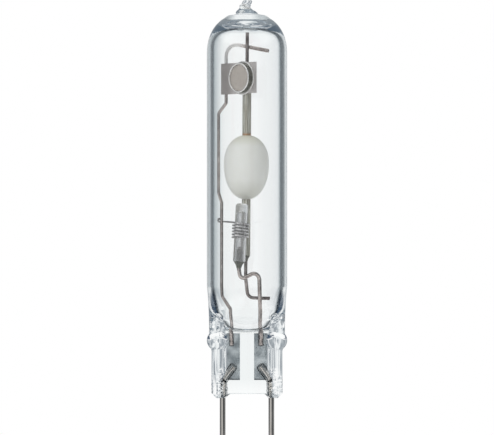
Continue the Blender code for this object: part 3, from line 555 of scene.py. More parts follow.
for side, word in ((-1, "lower"), (1, "upper")):
    hole, end = feedthrough_radius + frit_room, side * capillary_reach
    funnel = [(hole, end + side * frit_gap), (capillary_radius * 0.97, end + side * frit_gap)]
    for part, width in ((0.12, 0.92), (0.3, 0.8), (0.5, 0.62), (0.75, 0.5), (1.0, 0.46)):
        funnel.append((capillary_radius * width, end + side * part * frit_length))
    funnel.append((hole, end + side * frit_length))
    bm = turned(funnel, closed=True, steps=36)
    bmesh.ops.transform(bm, matrix=burner_axis, verts=bm.verts)
    dress(f"{word}_frit_seal", "frit", f"{word}_capillary_frit", bm, melted_frit)

# Stem wire: the short lead. It rises from the right foil, turns over in front of the burner's lower wire
# in a flat S, and its end goes up into the igniter.
stem_x = 2.1 * mm
stem_y = -0.3 * mm
stem_bend_height = igniter_bottom - 1.6 * mm
stem_hook_height = igniter_bottom - 3.2 * mm
stem_hook_side = 0.3 * mm
stem_bend = 1.2 * mm
hook_bend = 1.15 * mm
entry_drop = 1.3 * mm
entry_depth = 2.6 * mm
stem_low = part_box("stem_wire")[0]
stem_lead_y = foil_low.y - weld_gap - stem_radius
cavity_floor = foil_high.z + 0.6 * mm


def on_igniter(height, radius=0.0, angle=0.0):
    """A point by the igniter's own axis, at an angle from its left side towards its front."""
    return igniter_axis @ Vector((-radius * math.cos(angle), -radius * math.sin(angle), height))


corners = [(-foil_x, stem_lead_y, stem_low.z), (-foil_x, stem_lead_y, cavity_floor + 1.0 * mm),
           (stem_x, stem_y, stem_bend_height),
           (on_igniter(-igniter_frit_drop).x + stem_hook_side, igniter_axis.translation.y, stem_hook_height),
           on_igniter(-entry_drop), on_igniter(entry_depth)]
path = bent(corners, [jog_bend, stem_bend, hook_bend, hook_bend])
bm = drawn(path, stem_radius, 20, lead_round, lead_round)
dress("stem_wire", "lead_metal", "stem_lead", bm, annealed_wire)

# Ignition coil: a thin bright wire hooked round the frame wire and wound five times round the igniter.
# Its turns are loose, slope to the right in front and carry a sharp highlight each.
coil_radius = 0.18 * mm
coil_slack = 0.1 * mm
coil_turns = 5
coil_pitch = 0.52 * mm
coil_bottom = 4.1 * mm
coil_steps = 40
coil_round = 0.05 * mm
coil_sides = 12
hook_rise = 0.5 * mm
hook_forward = 0.35 * mm
hook_reach = 0.75 * mm
coil_tone = "D4D2D2"
coil_dark_tone = "8E8C8D"

bright_coil = grained("bright_tungsten_wire", wire_skin_size, ((0.3, coil_dark_tone), (0.6, coil_tone)),
                      {"Metallic": 1.0, "Roughness": 0.16}, detail=3.0)

winding = igniter_radius + coil_slack + coil_radius
coil_top = coil_bottom + coil_turns * coil_pitch
coil_behind = frame_depth + lead_radius + coil_radius + weld_gap
hook_z = on_igniter(coil_top, winding).z + 0.1 * mm
hook_x, hook_y = run_x - hook_reach, coil_behind - hook_forward
corners = [(run_x - coil_radius, coil_behind, hook_z + hook_rise), (hook_x, hook_y, hook_z + hook_rise),
           (hook_x, hook_y, hook_z), (run_x + 2 * lead_radius, coil_behind, hook_z),
           on_igniter(coil_top, winding) + Vector((0, 2 * coil_radius, 0))]
path = bent(corners, [hook_rise / 2, hook_rise / 2, 2 * coil_radius], 6)
for step in range(coil_turns * coil_steps + 1):
    path.append(on_igniter(coil_top - coil_pitch * step / coil_steps, winding, math.tau * step / coil_steps))
dress("ignition_coil", "lead_metal", "ignition_winding",
      drawn(path, coil_radius, coil_sides, coil_round, coil_round), bright_coil)

# Burner: two pressed halves of polycrystalline alumina with a capillary each, sintered into one body. The
# wall is milky and lets light through; the capillaries look darker because metal fills them.
burner_radius = 3.91 * mm
burner_wall = 0.6 * mm
burner_belly = 0.6 * mm
burner_rises = ((-1, 6.2 * mm), (1, 4.9 * mm))
burner_fullness = 2.15
burner_fillet = 2.4
burner_seam = 0.012 * mm
burner_steps = 26
burner_middle = light_centre + burner_belly
burner_tone = "FBFBF5"
burner_low_tone = "E0E0D6"
burner_top_tone = "DDDBC6"
burner_cloud = 0.9 * mm
burner_grit = 0.12 * mm
capillary_lip = 0.06 * mm
capillary_tone = "B0AEA0"
capillary_dark_tone = "857F72"
capillary_light_tone = "D8D8CE"
capillary_streak = 0.35 * mm
stain_tone = "B08A66"
stain_height = 5.0 * mm


def burner_outline(shrink, bore):
    """Half the burner's outline, bottom to top, drawn in by a wall and opening into its bore."""
    outline = []
    for side, rise in burner_rises:
        steps = range(burner_steps, 0, -1) if side < 0 else range(burner_steps + 1)
        for step in steps:
            turn = math.pi / 2 * step / burner_steps
            body = (burner_radius - shrink) * abs(math.cos(turn)) ** (2 / burner_fullness)
            seam = burner_seam if step == 0 and not shrink else 0
            radius = (body ** burner_fillet + bore ** burner_fillet) ** (1 / burner_fillet) - seam
            outline.append((radius, burner_belly + side * (rise - shrink)
                            * math.sin(turn) ** (2 / burner_fullness)))
    return outline


def near(tree, place, middle, edge, core, most=1.0):
    """A mask round one height or width: 0 past its edge, and at its most inside its core."""
    off = node(tree, "Math", (place, middle), operation="SUBTRACT")
    off = node(tree, "Math", [off], operation="ABSOLUTE")
    return node(tree, "MapRange", (off, edge, core, 0.0, most))


# Fired dense and unglazed, it scatters light inside its wall and has a faint warm cloud at both ends.
milky_alumina, tree, spot = blank("milky_polycrystalline_alumina")
height = node(tree, "SeparateXYZ", [spot]).outputs["Z"]
height = node(tree, "MapRange", (height, burner_middle - 6.2 * mm, burner_middle + 5.2 * mm))
tint = node(tree, "ValToRGB", [height], ((0.0, burner_low_tone), (0.3, burner_tone), (0.8, burner_tone),
                                         (1.0, burner_top_tone)))
cloud = node(tree, "TexNoise", {"Vector": spot, "Scale": 1 / burner_cloud, "Detail": 4.0})
veil = node(tree, "MapRange", (cloud, 0.0, 1.0, 0.0, 0.3))
tint = node(tree, "Mix", {0: veil, 6: tint, 7: burner_low_tone}, data_type="RGBA")
grit = node(tree, "TexNoise", {"Vector": spot, "Scale": 1 / burner_grit})
relief = node(tree, "Bump", {"Height": grit, "Strength": 0.05, "Distance": 0.01 * mm})
skin = node(tree, "BsdfPrincipled", {"Base Color": tint, "Roughness": 0.3, "IOR": 1.76,
                                     "Subsurface Weight": 0.35, "Subsurface Radius": (1.0, 1.0, 0.9),
                                     "Subsurface Scale": 0.8 * mm, "Normal": relief})
node(tree, "OutputMaterial", [skin])

# The capillary's thin wall lets its metal rod show through as upright streaks under a wet-looking gloss.
# A brown ring marks the joint where it was pushed into the body before firing.
thin_alumina, tree, spot = blank("thin_alumina_capillary_wall")
along = node(tree, "Mapping", {"Vector": spot, "Scale": (1, 1, 0.06)})
streaks = node(tree, "TexNoise", {"Vector": along, "Scale": 1 / capillary_streak, "Detail": 2.0})
tint = node(tree, "ValToRGB", [streaks], ((0.38, capillary_dark_tone), (0.5, capillary_tone),
                                          (0.62, capillary_light_tone)))
height = node(tree, "SeparateXYZ", [spot]).outputs["Z"]
stained = near(tree, height, burner_middle + stain_height, 0.45 * mm, 0.1 * mm)
tint = node(tree, "Mix", {0: stained, 6: tint, 7: stain_tone}, data_type="RGBA")
skin = node(tree, "BsdfPrincipled", {"Base Color": tint, "Metallic": 0.45, "Roughness": 0.22,
                                     "Coat Weight": 0.6, "Coat Roughness": 0.1})
node(tree, "OutputMaterial", [skin])

profile = [(capillary_radius - capillary_lip, -capillary_reach),
           (capillary_radius, capillary_lip - capillary_reach)]
profile += burner_outline(0, capillary_radius)
profile += [(capillary_radius, capillary_reach - capillary_lip),
            (capillary_radius - capillary_lip, capillary_reach), (capillary_bore, capillary_reach)]
profile += burner_outline(burner_wall, capillary_bore)[::-1] + [(capillary_bore, -capillary_reach)]
bm = turned(profile, closed=True, steps=72)
for face in bm.faces:
    middle = face.calc_center_median()
    if math.hypot(middle.x, middle.y) < 1.04 * capillary_radius:
        face.material_index = 1
bmesh.ops.transform(bm, matrix=burner_axis, verts=bm.verts)
dress("arc_tube", "alumina", "ceramic_burner", bm, milky_alumina, thin_alumina)

# Electrodes: in each capillary a molybdenum rod carries a thin tungsten electrode into the burner, with a
# short coil of finer wire round its tip to spread the heat of the arc.
electrode_gap = 5.0 * mm
electrode_radius = 0.15 * mm
electrode_length = 3.2 * mm
electrode_round = 0.06 * mm
tip_wire_radius = 0.07 * mm
tip_coil_turns = 4
tip_coil_steps = 16
tip_coil_back = 0.15 * mm
rod_radius = 0.3 * mm
rod_round = 0.05 * mm
feedthrough_depth = 3.0 * mm
tungsten_grain = 0.06 * mm
tungsten_dark_tone, tungsten_light_tone = "77777A", "9C9CA0"
molybdenum_dark_tone, molybdenum_light_tone = "7E7C7A", "A5A29E"

sintered_tungsten = grained("dull_sintered_tungsten", tungsten_grain,
                            ((0.3, tungsten_dark_tone), (0.7, tungsten_light_tone)),
                            {"Metallic": 1.0, "Roughness": 0.45})
grey_molybdenum = grained("swaged_molybdenum_rod", draw_line_width,
                          ((0.3, molybdenum_dark_tone), (0.7, molybdenum_light_tone)),
                          {"Metallic": 1.0, "Roughness": 0.38}, stretch=0.05)

for side, word in ((-1, "lower"), (1, "upper")):
    tip = side * electrode_gap / 2
    rod_start = tip + side * electrode_length
    rod_end = side * (capillary_reach - feedthrough_depth - weld_gap)
    ring = electrode_radius + tip_wire_radius + weld_gap
    coil_path = []
    for step in range(tip_coil_turns * tip_coil_steps + 1):
        turn = math.tau * step / tip_coil_steps
        climb = side * (tip_coil_back + (2 * tip_wire_radius + weld_gap) * turn / math.tau)
        coil_path.append(burner_axis @ Vector((ring * math.cos(turn), ring * math.sin(turn), tip + climb)))
    shaft = drawn([on_burner(tip), on_burner(rod_start - side * weld_gap)], electrode_radius, 16,
                  electrode_round)
    rod = drawn([on_burner(rod_start), on_burner(rod_end)], rod_radius, 20, rod_round, rod_round)
    dress(f"{word}_electrode", "tungsten", f"{word}_electrode_shaft", shaft, sintered_tungsten)
    dress(f"{word}_electrode_coil", "tungsten", f"{word}_tip_coil", drawn(coil_path, tip_wire_radius, 8),
          sintered_tungsten)
    dress(f"{word}_electrode_lead", "molybdenum", f"{word}_electrode_rod", rod, grey_molybdenum)

# Feedthroughs: niobium wire, which swells with heat just as alumina does. The upper one runs up into the
# bulb's thick dome; the lower one bends out behind the stem wire it is welded to.
niobium_light_tone = "A39A97"
niobium_dark_tone = "5F5654"
niobium_round = 0.08 * mm
tail_height = igniter_bottom - 6.35 * mm
knee_height = igniter_bottom - 3.1 * mm
knee_side = 0.4 * mm
tail_bend_radius = 1.1 * mm
tail_overhang = 2.0 * mm
tail_slope = 0.2 * mm
upper_wire_short = 1.1 * mm

brown_niobium = grained("oxidised_niobium_wire", wire_skin_size,
                        ((0.32, niobium_dark_tone), (0.68, niobium_light_tone)),
                        {"Metallic": 1.0, "Roughness": 0.28}, detail=4.0)

stem_rise = (tail_height - cavity_floor) / (stem_bend_height - cavity_floor)
tail_y = stem_lead_y + (stem_y - stem_lead_y) * stem_rise + stem_radius + feedthrough_radius + weld_gap
knee = on_burner(knee_height - light_centre)
lower_path = bent([on_burner(feedthrough_depth - capillary_reach), knee,
                   (knee.x + knee_side, tail_y, tail_height),
                   (stem_x + tail_overhang, tail_y, tail_height - tail_slope)], [tail_bend_radius] * 2)
upper_path = [on_burner(capillary_reach - feedthrough_depth),
              on_burner(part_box("upper_feedthrough")[1].z - upper_wire_short - light_centre)]
for word, path in (("lower", lower_path), ("upper", upper_path)):
    dress(f"{word}_feedthrough", "niobium", f"{word}_niobium_wire",
          drawn(path, feedthrough_radius, 20, niobium_round, niobium_round), brown_niobium)

# Fill: a drop of mercury and a pellet of yellow metal halide salts lie in the burner's lower bowl when it
# is cold. They can't be seen through the milky wall.
fill_grain = 0.1 * mm

for node_name, name, slot, finish, colour, metallic, roughness in (
        ("mercury_drop", "mercury_bead", "mercury", "liquid_mercury", "E2E3E6", 1.0, 0.05),
        ("halide_salt_pellet", "salt_pellet", "halide_salt", "fused_halide_salt", "D8C98F", 0.0, 0.6)):
    low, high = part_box(node_name)
    fill = grained(finish, fill_grain, colour, {"Metallic": metallic},
                   wear=(0.8 * roughness, 1.2 * roughness))
    bm = bmesh.new()
    bmesh.ops.create_icosphere(bm, subdivisions=3, radius=1.0)
    bmesh.ops.scale(bm, verts=bm.verts, vec=(high - low) / 2)
    bmesh.ops.translate(bm, verts=bm.verts, vec=(low + high) / 2)
    dress(node_name, slot, name, bm, fill)

# Getter: a strip of plated steel welded to the frame wire, and on it a pressed cup full of zirconium
# powder, which soaks up stray gas. The strip's left end is folded back a little and painted darker, as
# the shade on that flap.
getter_height = light_centre + capillary_reach
getter_axis = (Matrix.Translation((neck_x, frame_depth, getter_height))
               @ Matrix.Rotation(math.radians(-48), 4, "Z"))
strip_length = 9.0 * mm
strip_half_width = 2.7 * mm
strip_thickness = 0.15 * mm
strip_edge_round = 0.03 * mm
strip_left = -0.65 * mm
flap_length = 1.9 * mm
flap_turn = math.radians(7)
strip_front = -(lead_radius + weld_gap + strip_thickness)
cup_place = 5.1 * mm
cup_radius = 2.7 * mm
cup_depth = 1.1 * mm
cup_wall = 0.16 * mm
cup_lip = 0.38 * mm
cup_taper = 0.12 * mm
cup_foot = 0.22 * mm
cup_foot_thickness = 0.15 * mm
cup_edge_round = 0.06 * mm
cup_fillet = 0.1 * mm
cup_rim_round = 0.14 * mm
powder_depth = 0.72 * mm
powder_sag = 0.04 * mm
powder_grain = 0.12 * mm
powder_speck = 0.35 * mm
strip_tone = "DCD6D4"
strip_dark_tone = "CDC6C3"
strip_flap_shade_tone = "B9B1AE"
strip_flap_shade_from = {"X": (-2.4 * mm, -3.2 * mm)}
strip_line = 0.8 * mm
cup_tone = "F2F0EE"
cup_drag = 0.3 * mm
cup_side_shade_tone = "45443B"
cup_side_shade_light_tone = "6B6A5E"
cup_side_shade_grain = 0.5 * mm
powder_light_tone = "C6BDB5"
powder_dark_tone = "A79E96"

# Plated steel has rolling lines and the pressed cup draws its gloss unevenly. The cup's side is painted
# dark as shade, while its rim and foot stay bright.
# The strip's left flap is painted darker as the shade on it.
plated_strip = grained("nickel_plated_steel_strip", strip_line, ((0.3, strip_dark_tone), (0.62, strip_tone)),
                       {"Metallic": 0.65, "Roughness": 0.42}, detail=4.0, stretch=12,
                       bump=(0.025, 0.02 * mm), patch=(strip_flap_shade_tone, 0.0, strip_flap_shade_from))
bright_cup = grained("pressed_steel_cup", cup_drag, cup_tone, {"Metallic": 0.6}, detail=3.0,
                     wear=(0.12, 0.26))
# The cup's side is painted dark as shade.
shaded_cup_side = grained("painted_shade_steel_side", cup_side_shade_grain, ((0.35, cup_side_shade_tone), (0.7, cup_side_shade_light_tone)),
                      {"Metallic": 0.7, "Roughness": 0.34}, detail=3.0)

# Pressed powder: dull grains with specks between them, drawn twice as coarse as they are to show.
zirconium_powder, tree, spot = blank("pressed_zirconium_powder")
grains = node(tree, "TexVoronoi", {"Vector": spot, "Scale": 1 / powder_grain})
specks = node(tree, "TexNoise", {"Vector": spot, "Scale": 1 / powder_speck, "Detail": 5.0})
both = node(tree, "Math", (grains, specks), operation="ADD")
tint = node(tree, "ValToRGB", [both], ((0.55, powder_dark_tone), (1.1, powder_light_tone)))
relief = node(tree, "Bump", {"Height": both, "Strength": 0.5, "Distance": 0.05 * mm})
skin = node(tree, "BsdfPrincipled", {"Base Color": tint, "Roughness": 0.85, "Metallic": 0.2,
                                     "Normal": relief})
node(tree, "OutputMaterial", [skin])

bm = bmesh.new()
bend = strip_left + flap_length
flap = Vector((-math.cos(flap_turn), -math.sin(flap_turn))) * flap_length
outline = [(strip_left + strip_length, strip_front), (bend, strip_front),
           (bend + flap.x, strip_front + flap.y)]
verts = [bm.verts.new((x, y, -strip_half_width)) for x, y in outline]
edges = [bm.edges.new(pair) for pair in zip(verts, verts[1:])]
grown = bmesh.ops.extrude_edge_only(bm, edges=edges)["geom"]
risen = [item for item in grown if isinstance(item, bmesh.types.BMVert)]
bmesh.ops.translate(bm, verts=risen, vec=(0, 0, 2 * strip_half_width))
bmesh.ops.recalc_face_normals(bm, faces=bm.faces)
if sum((face.normal.y for face in bm.faces)) < 0:
    bmesh.ops.reverse_faces(bm, faces=bm.faces)
bmesh.ops.solidify(bm, geom=list(bm.faces), thickness=-strip_thickness)
bmesh.ops.recalc_face_normals(bm, faces=bm.faces)
rim = [edge for edge in bm.edges if edge.calc_length() > 0.05 * mm]
bmesh.ops.bevel(bm, geom=rim, offset=strip_edge_round, segments=2, affect="EDGES", profile=0.5, material=-1)
bmesh.ops.transform(bm, matrix=getter_axis, verts=bm.verts)
dress("getter_strip", "plated_steel", "getter_plate", bm, plated_strip)

cup_axis = (getter_axis @ Matrix.Translation((cup_place, strip_front - weld_gap, 0))
            @ Matrix.Rotation(math.pi / 2, 4, "X"))
inner, mouth, foot = cup_radius - cup_lip, cup_radius - cup_taper, cup_radius + cup_foot
rim_height = cup_depth - cup_rim_round
shell = [(0, 0)] + arc((foot - cup_edge_round, cup_edge_round), cup_edge_round, -90, 0, 3)
shell += arc((foot - cup_edge_round, cup_foot_thickness - cup_edge_round), cup_edge_round, 0, 90, 3)
shell += arc((cup_radius + cup_fillet, cup_foot_thickness + cup_fillet), cup_fillet, 270, 180, 4)
shell += arc((mouth - cup_rim_round, rim_height), cup_rim_round, 0, 90, 5)
shell += arc((inner + cup_rim_round, rim_height), cup_rim_round, 90, 180, 5)
shell += [(inner, cup_wall), (0, cup_wall)]
bm = turned(shell, steps=72)
for face in bm.faces:
    middle = face.calc_center_median()
    rise = (middle.z - cup_foot_thickness) / (cup_depth - cup_foot_thickness)
    if 0.02 < rise < 0.86 and math.hypot(middle.x, middle.y) > mouth - 0.02 * mm:
        face.material_index = 1
bmesh.ops.transform(bm, matrix=cup_axis, verts=bm.verts)
dress("getter_cup", "plated_steel", "getter_dish", bm, bright_cup, shaded_cup_side)

bed, fill_radius, fill_top = cup_wall + weld_gap, inner - weld_gap, powder_depth - powder_sag
bm = turned([(0, bed), (fill_radius, bed), (fill_radius, powder_depth + 0.06 * mm),
             (fill_radius - 0.1 * mm, powder_depth), (0.7 * fill_radius, fill_top),
             (0.35 * fill_radius, fill_top), (0, fill_top)], steps=72)
bmesh.ops.transform(bm, matrix=cup_axis, verts=bm.verts)
dress("getter_powder", "getter_grains", "getter_filling", bm, zirconium_powder)

# Outer bulb: one quartz tube. Its top is melted shut to a thick dome with a twisted nib where the tube was
# drawn off; its bottom is pressed flat between jaws, which leaves a thin web over the foils, a thick rail
# outside each pin, and a round boss on each shoulder where glass squeezed into the jaws' relief.
facets = 144
pinch_rows, neck_rows, tube_rows, dome_rows, tip_rows, cavity_rows = 54, 44, 10, 28, 33, 40
neck_spread = 1.15
rail_drop = 0.65 * mm
pinch_height = 10.4 * mm
pinch_half_width = 6.18 * mm
shoulder_half_width = 6.6 * mm
shoulder_length = 3.0 * mm
rail_half_thickness = 2.2 * mm
rail_corner = 0.8 * mm
rail_chamfer = 0.85 * mm
rail_edge = 4.95 * mm
rail_end_round = 0.3 * mm
web_edge = 3.7 * mm
web_half_thickness = 1.25 * mm
web_slope = 0.35 * mm
neck_height = cavity_floor + 7.6 * mm
bulb_shoulder = getter_height + strip_half_width + 1.5 * mm
dome_rise = 7.3 * mm
dome_fullness = 2.3
tip_radius = 1.9 * mm
tip_length = 2.5 * mm
tip_end = 0.97
tip_outline = ((0.0, 1.9, -0.07), (0.1, 1.82, -0.12), (0.2, 1.6, -0.2), (0.3, 1.3, -0.28),
               (0.4, 1.12, -0.32), (0.5, 1.0, -0.35), (0.58, 0.98, -0.32), (0.66, 0.84, -0.2),
               (0.74, 0.8, -0.06), (0.84, 0.8, 0.04), (0.92, 0.76, 0.1), (tip_end, 0.5, 0.12))
tip_lobe = 0.1
tip_twist = math.radians(230)
dome_ripple = 0.1 * mm
dome_ripple_width = 2.0 * mm
dome_ripple_reach = 2.2 * mm
boss_size = Vector((1.8, 2.5, 1.8)) * mm
boss_centre = Vector((shoulder_half_width + 0.4 * mm - boss_size.x, 0, pinch_height - 1.1 * mm))
boss_fullness = 4.0
dimple_radius = 0.45 * mm
dimple_depth = 0.25 * mm
cavity_floor_half_width = 2.2 * mm
cavity_floor_half_thickness = 0.35 * mm
cavity_floor_sag = 1.1 * mm
cavity_top = bulb_shoulder + dome_rise - 2.4 * mm
cavity_dome_rise = 5.0 * mm
cavity_dome_fullness = 3.2
pin_channel_gap = 0.22 * mm
pin_channel_foot = 0.05 * mm
lead_channel_gap = 0.1 * mm


def along_outline(points, share):
    """The point at a share of the way along a chain of straight pieces."""
    lengths = [(b - a).length for a, b in zip(points, points[1:])]
    left = share * sum(lengths)
    for a, b, length in zip(points, points[1:], lengths):
        if left <= length:
            return a.lerp(b, left / length)
        left -= length
    return points[-1]


def eased(share):
    """A share held between 0 and 1 that leaves and arrives softly."""
    share = min(1.0, max(0.0, share))
    return share * share * (3 - 2 * share)


def pressed(co):
    """Where a point of the round tube goes when the jaws close on it."""
    share = math.hypot(co.x, co.y) / bulb_radius
    turn = math.atan2(abs(co.y), abs(co.x)) / (math.pi / 2)
    flat = along_outline(rail_outline, turn)
    part = max(0.0, (co.z - pinch_height) / (neck_height - pinch_height))
    widen = min(1.0, max(0.0, (co.z - pinch_height + shoulder_length) / shoulder_length))
    flat.x *= 1 + (shoulder_half_width / pinch_half_width - 1) * widen
    if part > 0:
        swell = math.sin(min(1.0, part) * math.pi / 2) ** 1.3
        thickness = rail_half_thickness + (bulb_radius - rail_half_thickness) * swell
        width = shoulder_half_width + (bulb_radius - shoulder_half_width) * part ** 2
        full = Vector((width * math.cos(turn * math.pi / 2), thickness * math.sin(turn * math.pi / 2)))
        flat.x *= width / shoulder_half_width
        flat.y += (thickness - rail_half_thickness) * (flat.y / rail_half_thickness) ** 0.5
        flat = flat.lerp(full, eased(part / 0.5))
    x, y = flat * share
    lift = eased((web_edge - x) / web_slope)
    floor_z = -rail_drop + rail_drop * lift + max(0.0, x - pinch_half_width + rail_chamfer)
    return Vector((math.copysign(x, co.x), math.copysign(y, co.y), max(co.z, floor_z)))


def between(rows, place, column):
    """The value in one column of a table of rows, at a place between two of them, in mm."""
    for low, high in zip(rows, rows[1:]):
        if place <= high[0] + 1e-9:
            share = (place - low[0]) / (high[0] - low[0])
            return (low[column] + (high[column] - low[column]) * share) * mm
    return rows[-1][column] * mm


def domed(radius, base, rise, fullness, last_turn):
    """Points up a dome's side in a profile, squarer than a round where its fullness is above 2."""
    turns = [last_turn * step / dome_rows for step in range(1, dome_rows + 1)]
    return [(radius * math.cos(turn) ** (2 / fullness), base + rise * math.sin(turn) ** (2 / fullness))
            for turn in turns]


def absorb(whole, part, slot_index):
    """Add one bmesh's faces to another, all in one material slot and facing into their hollow."""
    bmesh.ops.reverse_faces(part, faces=part.faces)
    for face in part.faces:
        face.material_index = slot_index
    carrier = bpy.data.meshes.new("carrier")
    part.to_mesh(carrier)
    part.free()
    whole.from_mesh(carrier)
    bpy.data.meshes.remove(carrier)


# The outside is turned as a tube with its dome and nib, then pressed, bossed, twisted and rippled.
rail_round = (pinch_half_width - rail_corner, rail_half_thickness - rail_corner)
rail_outline = [(pinch_half_width, 0)] + arc(rail_round, rail_corner, 0, 90, 6)
rail_outline += [(rail_edge, rail_half_thickness), (web_edge, web_half_thickness), (0, web_half_thickness)]
rail_outline = [Vector(point) for point in rail_outline]
pinch_foot = rail_end_round - rail_drop
profile = [(bulb_radius * part, -rail_drop) for part in (0, 0.15, 0.3, 0.42, 0.52, 0.6, 0.7, 0.8, 0.9)]
profile += arc((bulb_radius - rail_end_round, pinch_foot), rail_end_round, -90, 0, 3)
for low, high, rows, spread in ((pinch_foot, pinch_height, pinch_rows, 1.0),
                                (pinch_height, neck_height, neck_rows, neck_spread),
                                (neck_height, bulb_shoulder, tube_rows, 1.0)):
    profile += [(bulb_radius, low + (high - low) * (row / rows) ** spread) for row in range(1, rows + 1)]
profile += domed(bulb_radius, bulb_shoulder, dome_rise, dome_fullness,
                 math.acos((tip_radius / bulb_radius) ** (dome_fullness / 2)))
tip_base = profile[-1][1]
for part in [tip_end * step / tip_rows for step in range(1, tip_rows + 1)]:
    profile.append((between(tip_outline, part, 1), tip_base + part * tip_length))
profile.append((0, tip_base + tip_end * tip_length))
bm = turned(profile, steps=facets)
for vert in bm.verts:
    if vert.co.z < neck_height:
        vert.co = pressed(vert.co)
        middle = Vector((math.copysign(boss_centre.x, vert.co.x), 0, boss_centre.z))
        arm = Vector((a / b for a, b in zip(vert.co - middle, boss_size)))
        reach = math.hypot(arm.x, arm.z) ** boss_fullness + abs(arm.y) ** boss_fullness
        reach = reach ** (1 / boss_fullness)
        if 0 < reach < 1:
            vert.co = middle + Vector((a * b / reach for a, b in zip(arm, boss_size)))
        pit = math.hypot(middle.x - vert.co.x, middle.z - vert.co.z)
        if vert.co.y < 0 and pit < dimple_radius and arm.length > 0:
            vert.co.y += dimple_depth * (1 - (pit / dimple_radius) ** 2)
    elif vert.co.z > tip_base:
        part = (vert.co.z - tip_base) / tip_length
        turn = math.atan2(vert.co.y, vert.co.x)
        lobe = 1 + tip_lobe * math.sin(part * math.pi) * math.cos(2 * (turn - part * tip_twist))
        vert.co.x = vert.co.x * lobe + between(tip_outline, min(part, tip_end), 2) * min(1.0, part / 0.1)
        vert.co.y *= lobe
    elif vert.co.z > bulb_shoulder:
        ring = math.hypot(vert.co.x, vert.co.y) - tip_radius
        if ring < dome_ripple_reach:
            fade = math.sin(math.pi * max(0.0, ring) / dome_ripple_reach) ** 0.5
            vert.co.z -= dome_ripple * fade * math.sin(math.tau * ring / dome_ripple_width)
bmesh.ops.recalc_face_normals(bm, faces=bm.faces)

# The cavity ends below in a flat curved slit between the leads, and each pin and lead has its channel.
cavity = [(cavity_radius * part, cavity_floor) for part in (0, 0.3, 0.6, 0.85)]
cavity += [(cavity_radius, cavity_floor + (neck_height - cavity_floor) * (row / cavity_rows) ** 1.5)
           for row in range(cavity_rows + 1)]
cavity_shoulder = cavity_top - cavity_dome_rise
cavity += [(cavity_radius, neck_height + (cavity_shoulder - neck_height) * row / tube_rows)
           for row in range(1, tube_rows + 1)]
cavity += domed(cavity_radius, cavity_shoulder, cavity_dome_rise, cavity_dome_fullness, math.radians(89.5))
cavity.append((0, cavity_top))
hollow = turned(cavity, steps=facets)
for vert in hollow.verts:
    if vert.co.z < neck_height:
        rise = max(0.0, (vert.co.z - cavity_floor) / (neck_height - cavity_floor))
        swell = math.sin(math.pi / 2 * rise)
        width = cavity_floor_half_width + (cavity_radius - cavity_floor_half_width) * rise ** 0.27
        thickness = cavity_floor_half_thickness + (cavity_radius - cavity_floor_half_thickness) * swell
        vert.co.x *= width / cavity_radius
        vert.co.y *= thickness / cavity_radius
        vert.co.z += cavity_floor_sag * (vert.co.x / rail_edge) ** 2 * max(0.0, 1 - 4 * rise)
bmesh.ops.recalc_face_normals(hollow, faces=hollow.faces)
absorb(bm, hollow, 1)
for side in (-1, 1):
    path = pin_path(side, pin_channel_foot - rail_drop)
    path[-1] += (path[-1] - path[-2]).normalized() * pin_channel_gap
    absorb(bm, drawn(path, pin_radius + pin_channel_gap, 32, 0.1 * mm, 0.3 * mm), 2)
for foot_x, top_x, y, low_z, radius in (
        (lead_foot_x, lead_exit_x, lead_y, wire_low.z, lead_radius),
        (-foil_x, -foil_x, stem_lead_y, stem_low.z, stem_radius)):
    path = [Vector((foot_x, y, low_z - lead_channel_gap)),
            Vector((top_x, y, cavity_floor - lead_channel_gap))]
    absorb(bm, drawn(path, radius + lead_channel_gap, 32, 0.1 * mm, 0.1 * mm), 2)

# Fused quartz is as clear as water. Where the bore is seen at a slant through the wall, slate grey is
# painted in, as the shade of a dark line inside the bulb's edge. The tube was drawn, so its tint varies in
# faint upright lines. The jaws left upright folds in the rails, crumpled glass round the pins and swirls
# above
# the bosses. Lamps shine through it: for their rays it is plainly see-through. Light that has turned too
# often in the wall to be followed ends in painted patches of slate that glow. Where the quartz wets a pin or
# a lead it doesn't bend light, and only the channel's edge is painted dark as shade.
quartz_ior = 1.46
outside_stops = ((0.0, "FEFFFF"), (0.8, "FDFEFE"), (1.0, "EEF1F2"))
# Painted shade: slate where the bore is seen at a slant.
wall_shade_stops = ((0.0, "FEFEFE"), (0.13, "FCFDFD"), (0.2, "F8F9FA"), (0.2245, "F2F4F5"), (0.2366, "DCDFE1"),
              (0.2516, "ACB1B4"), (0.2588, "8E9498"), (0.2703, "7D8387"), (0.29, "7D8387"), (0.3, "8B9094"),
              (0.31, "AEB2B5"), (0.3172, "C8CBCD"), (0.331, "EBEDEE"), (0.34, "FAFBFB"), (0.4, "F8F9FA"),
              (1.0, "F2F4F5"))
bore_stops = ((0.0, "FFFFFF"), (0.6, "FDFEFE"), (1.0, "F4F6F7"))
# Painted shade: the channel's edge turns dark at a slant.
channel_edge_shade_stops = ((0.0, "FFFFFF"), (0.4, "FDFEFE"), (0.5, "6A6C70"), (1.0, "3A3C40"))
trapped_glow_stops = ((0.44, "5B6977"), (0.5, "74818D"), (0.56, "DCE2E6"), (0.62, "8894A0"))
streak_tone = "FDFDFD"
lamp_through_tone = "F8F9F9"
draw_streak = 0.9 * mm
fold_width = 0.7 * mm
fold_depth = 0.28 * mm
crumple_size = 0.55 * mm
crumple_share = 0.6
swirl_size = 1.1 * mm
swirl_height = 12.3 * mm
swirl_share = 2.2
in_rail_from, in_rail_to = 4.1 * mm, 4.8 * mm
folds_end, folds_start = 11.4 * mm, 9.4 * mm
crumples_end, crumples_start = 4.6 * mm, 2.6 * mm
crumple_reach, crumple_core = 1.05 * mm, 0.5 * mm
swirl_reach, swirl_core = 1.8 * mm, 0.8 * mm
turns_in_wall = 3.5
trapped_glow_patch = 2.2 * mm


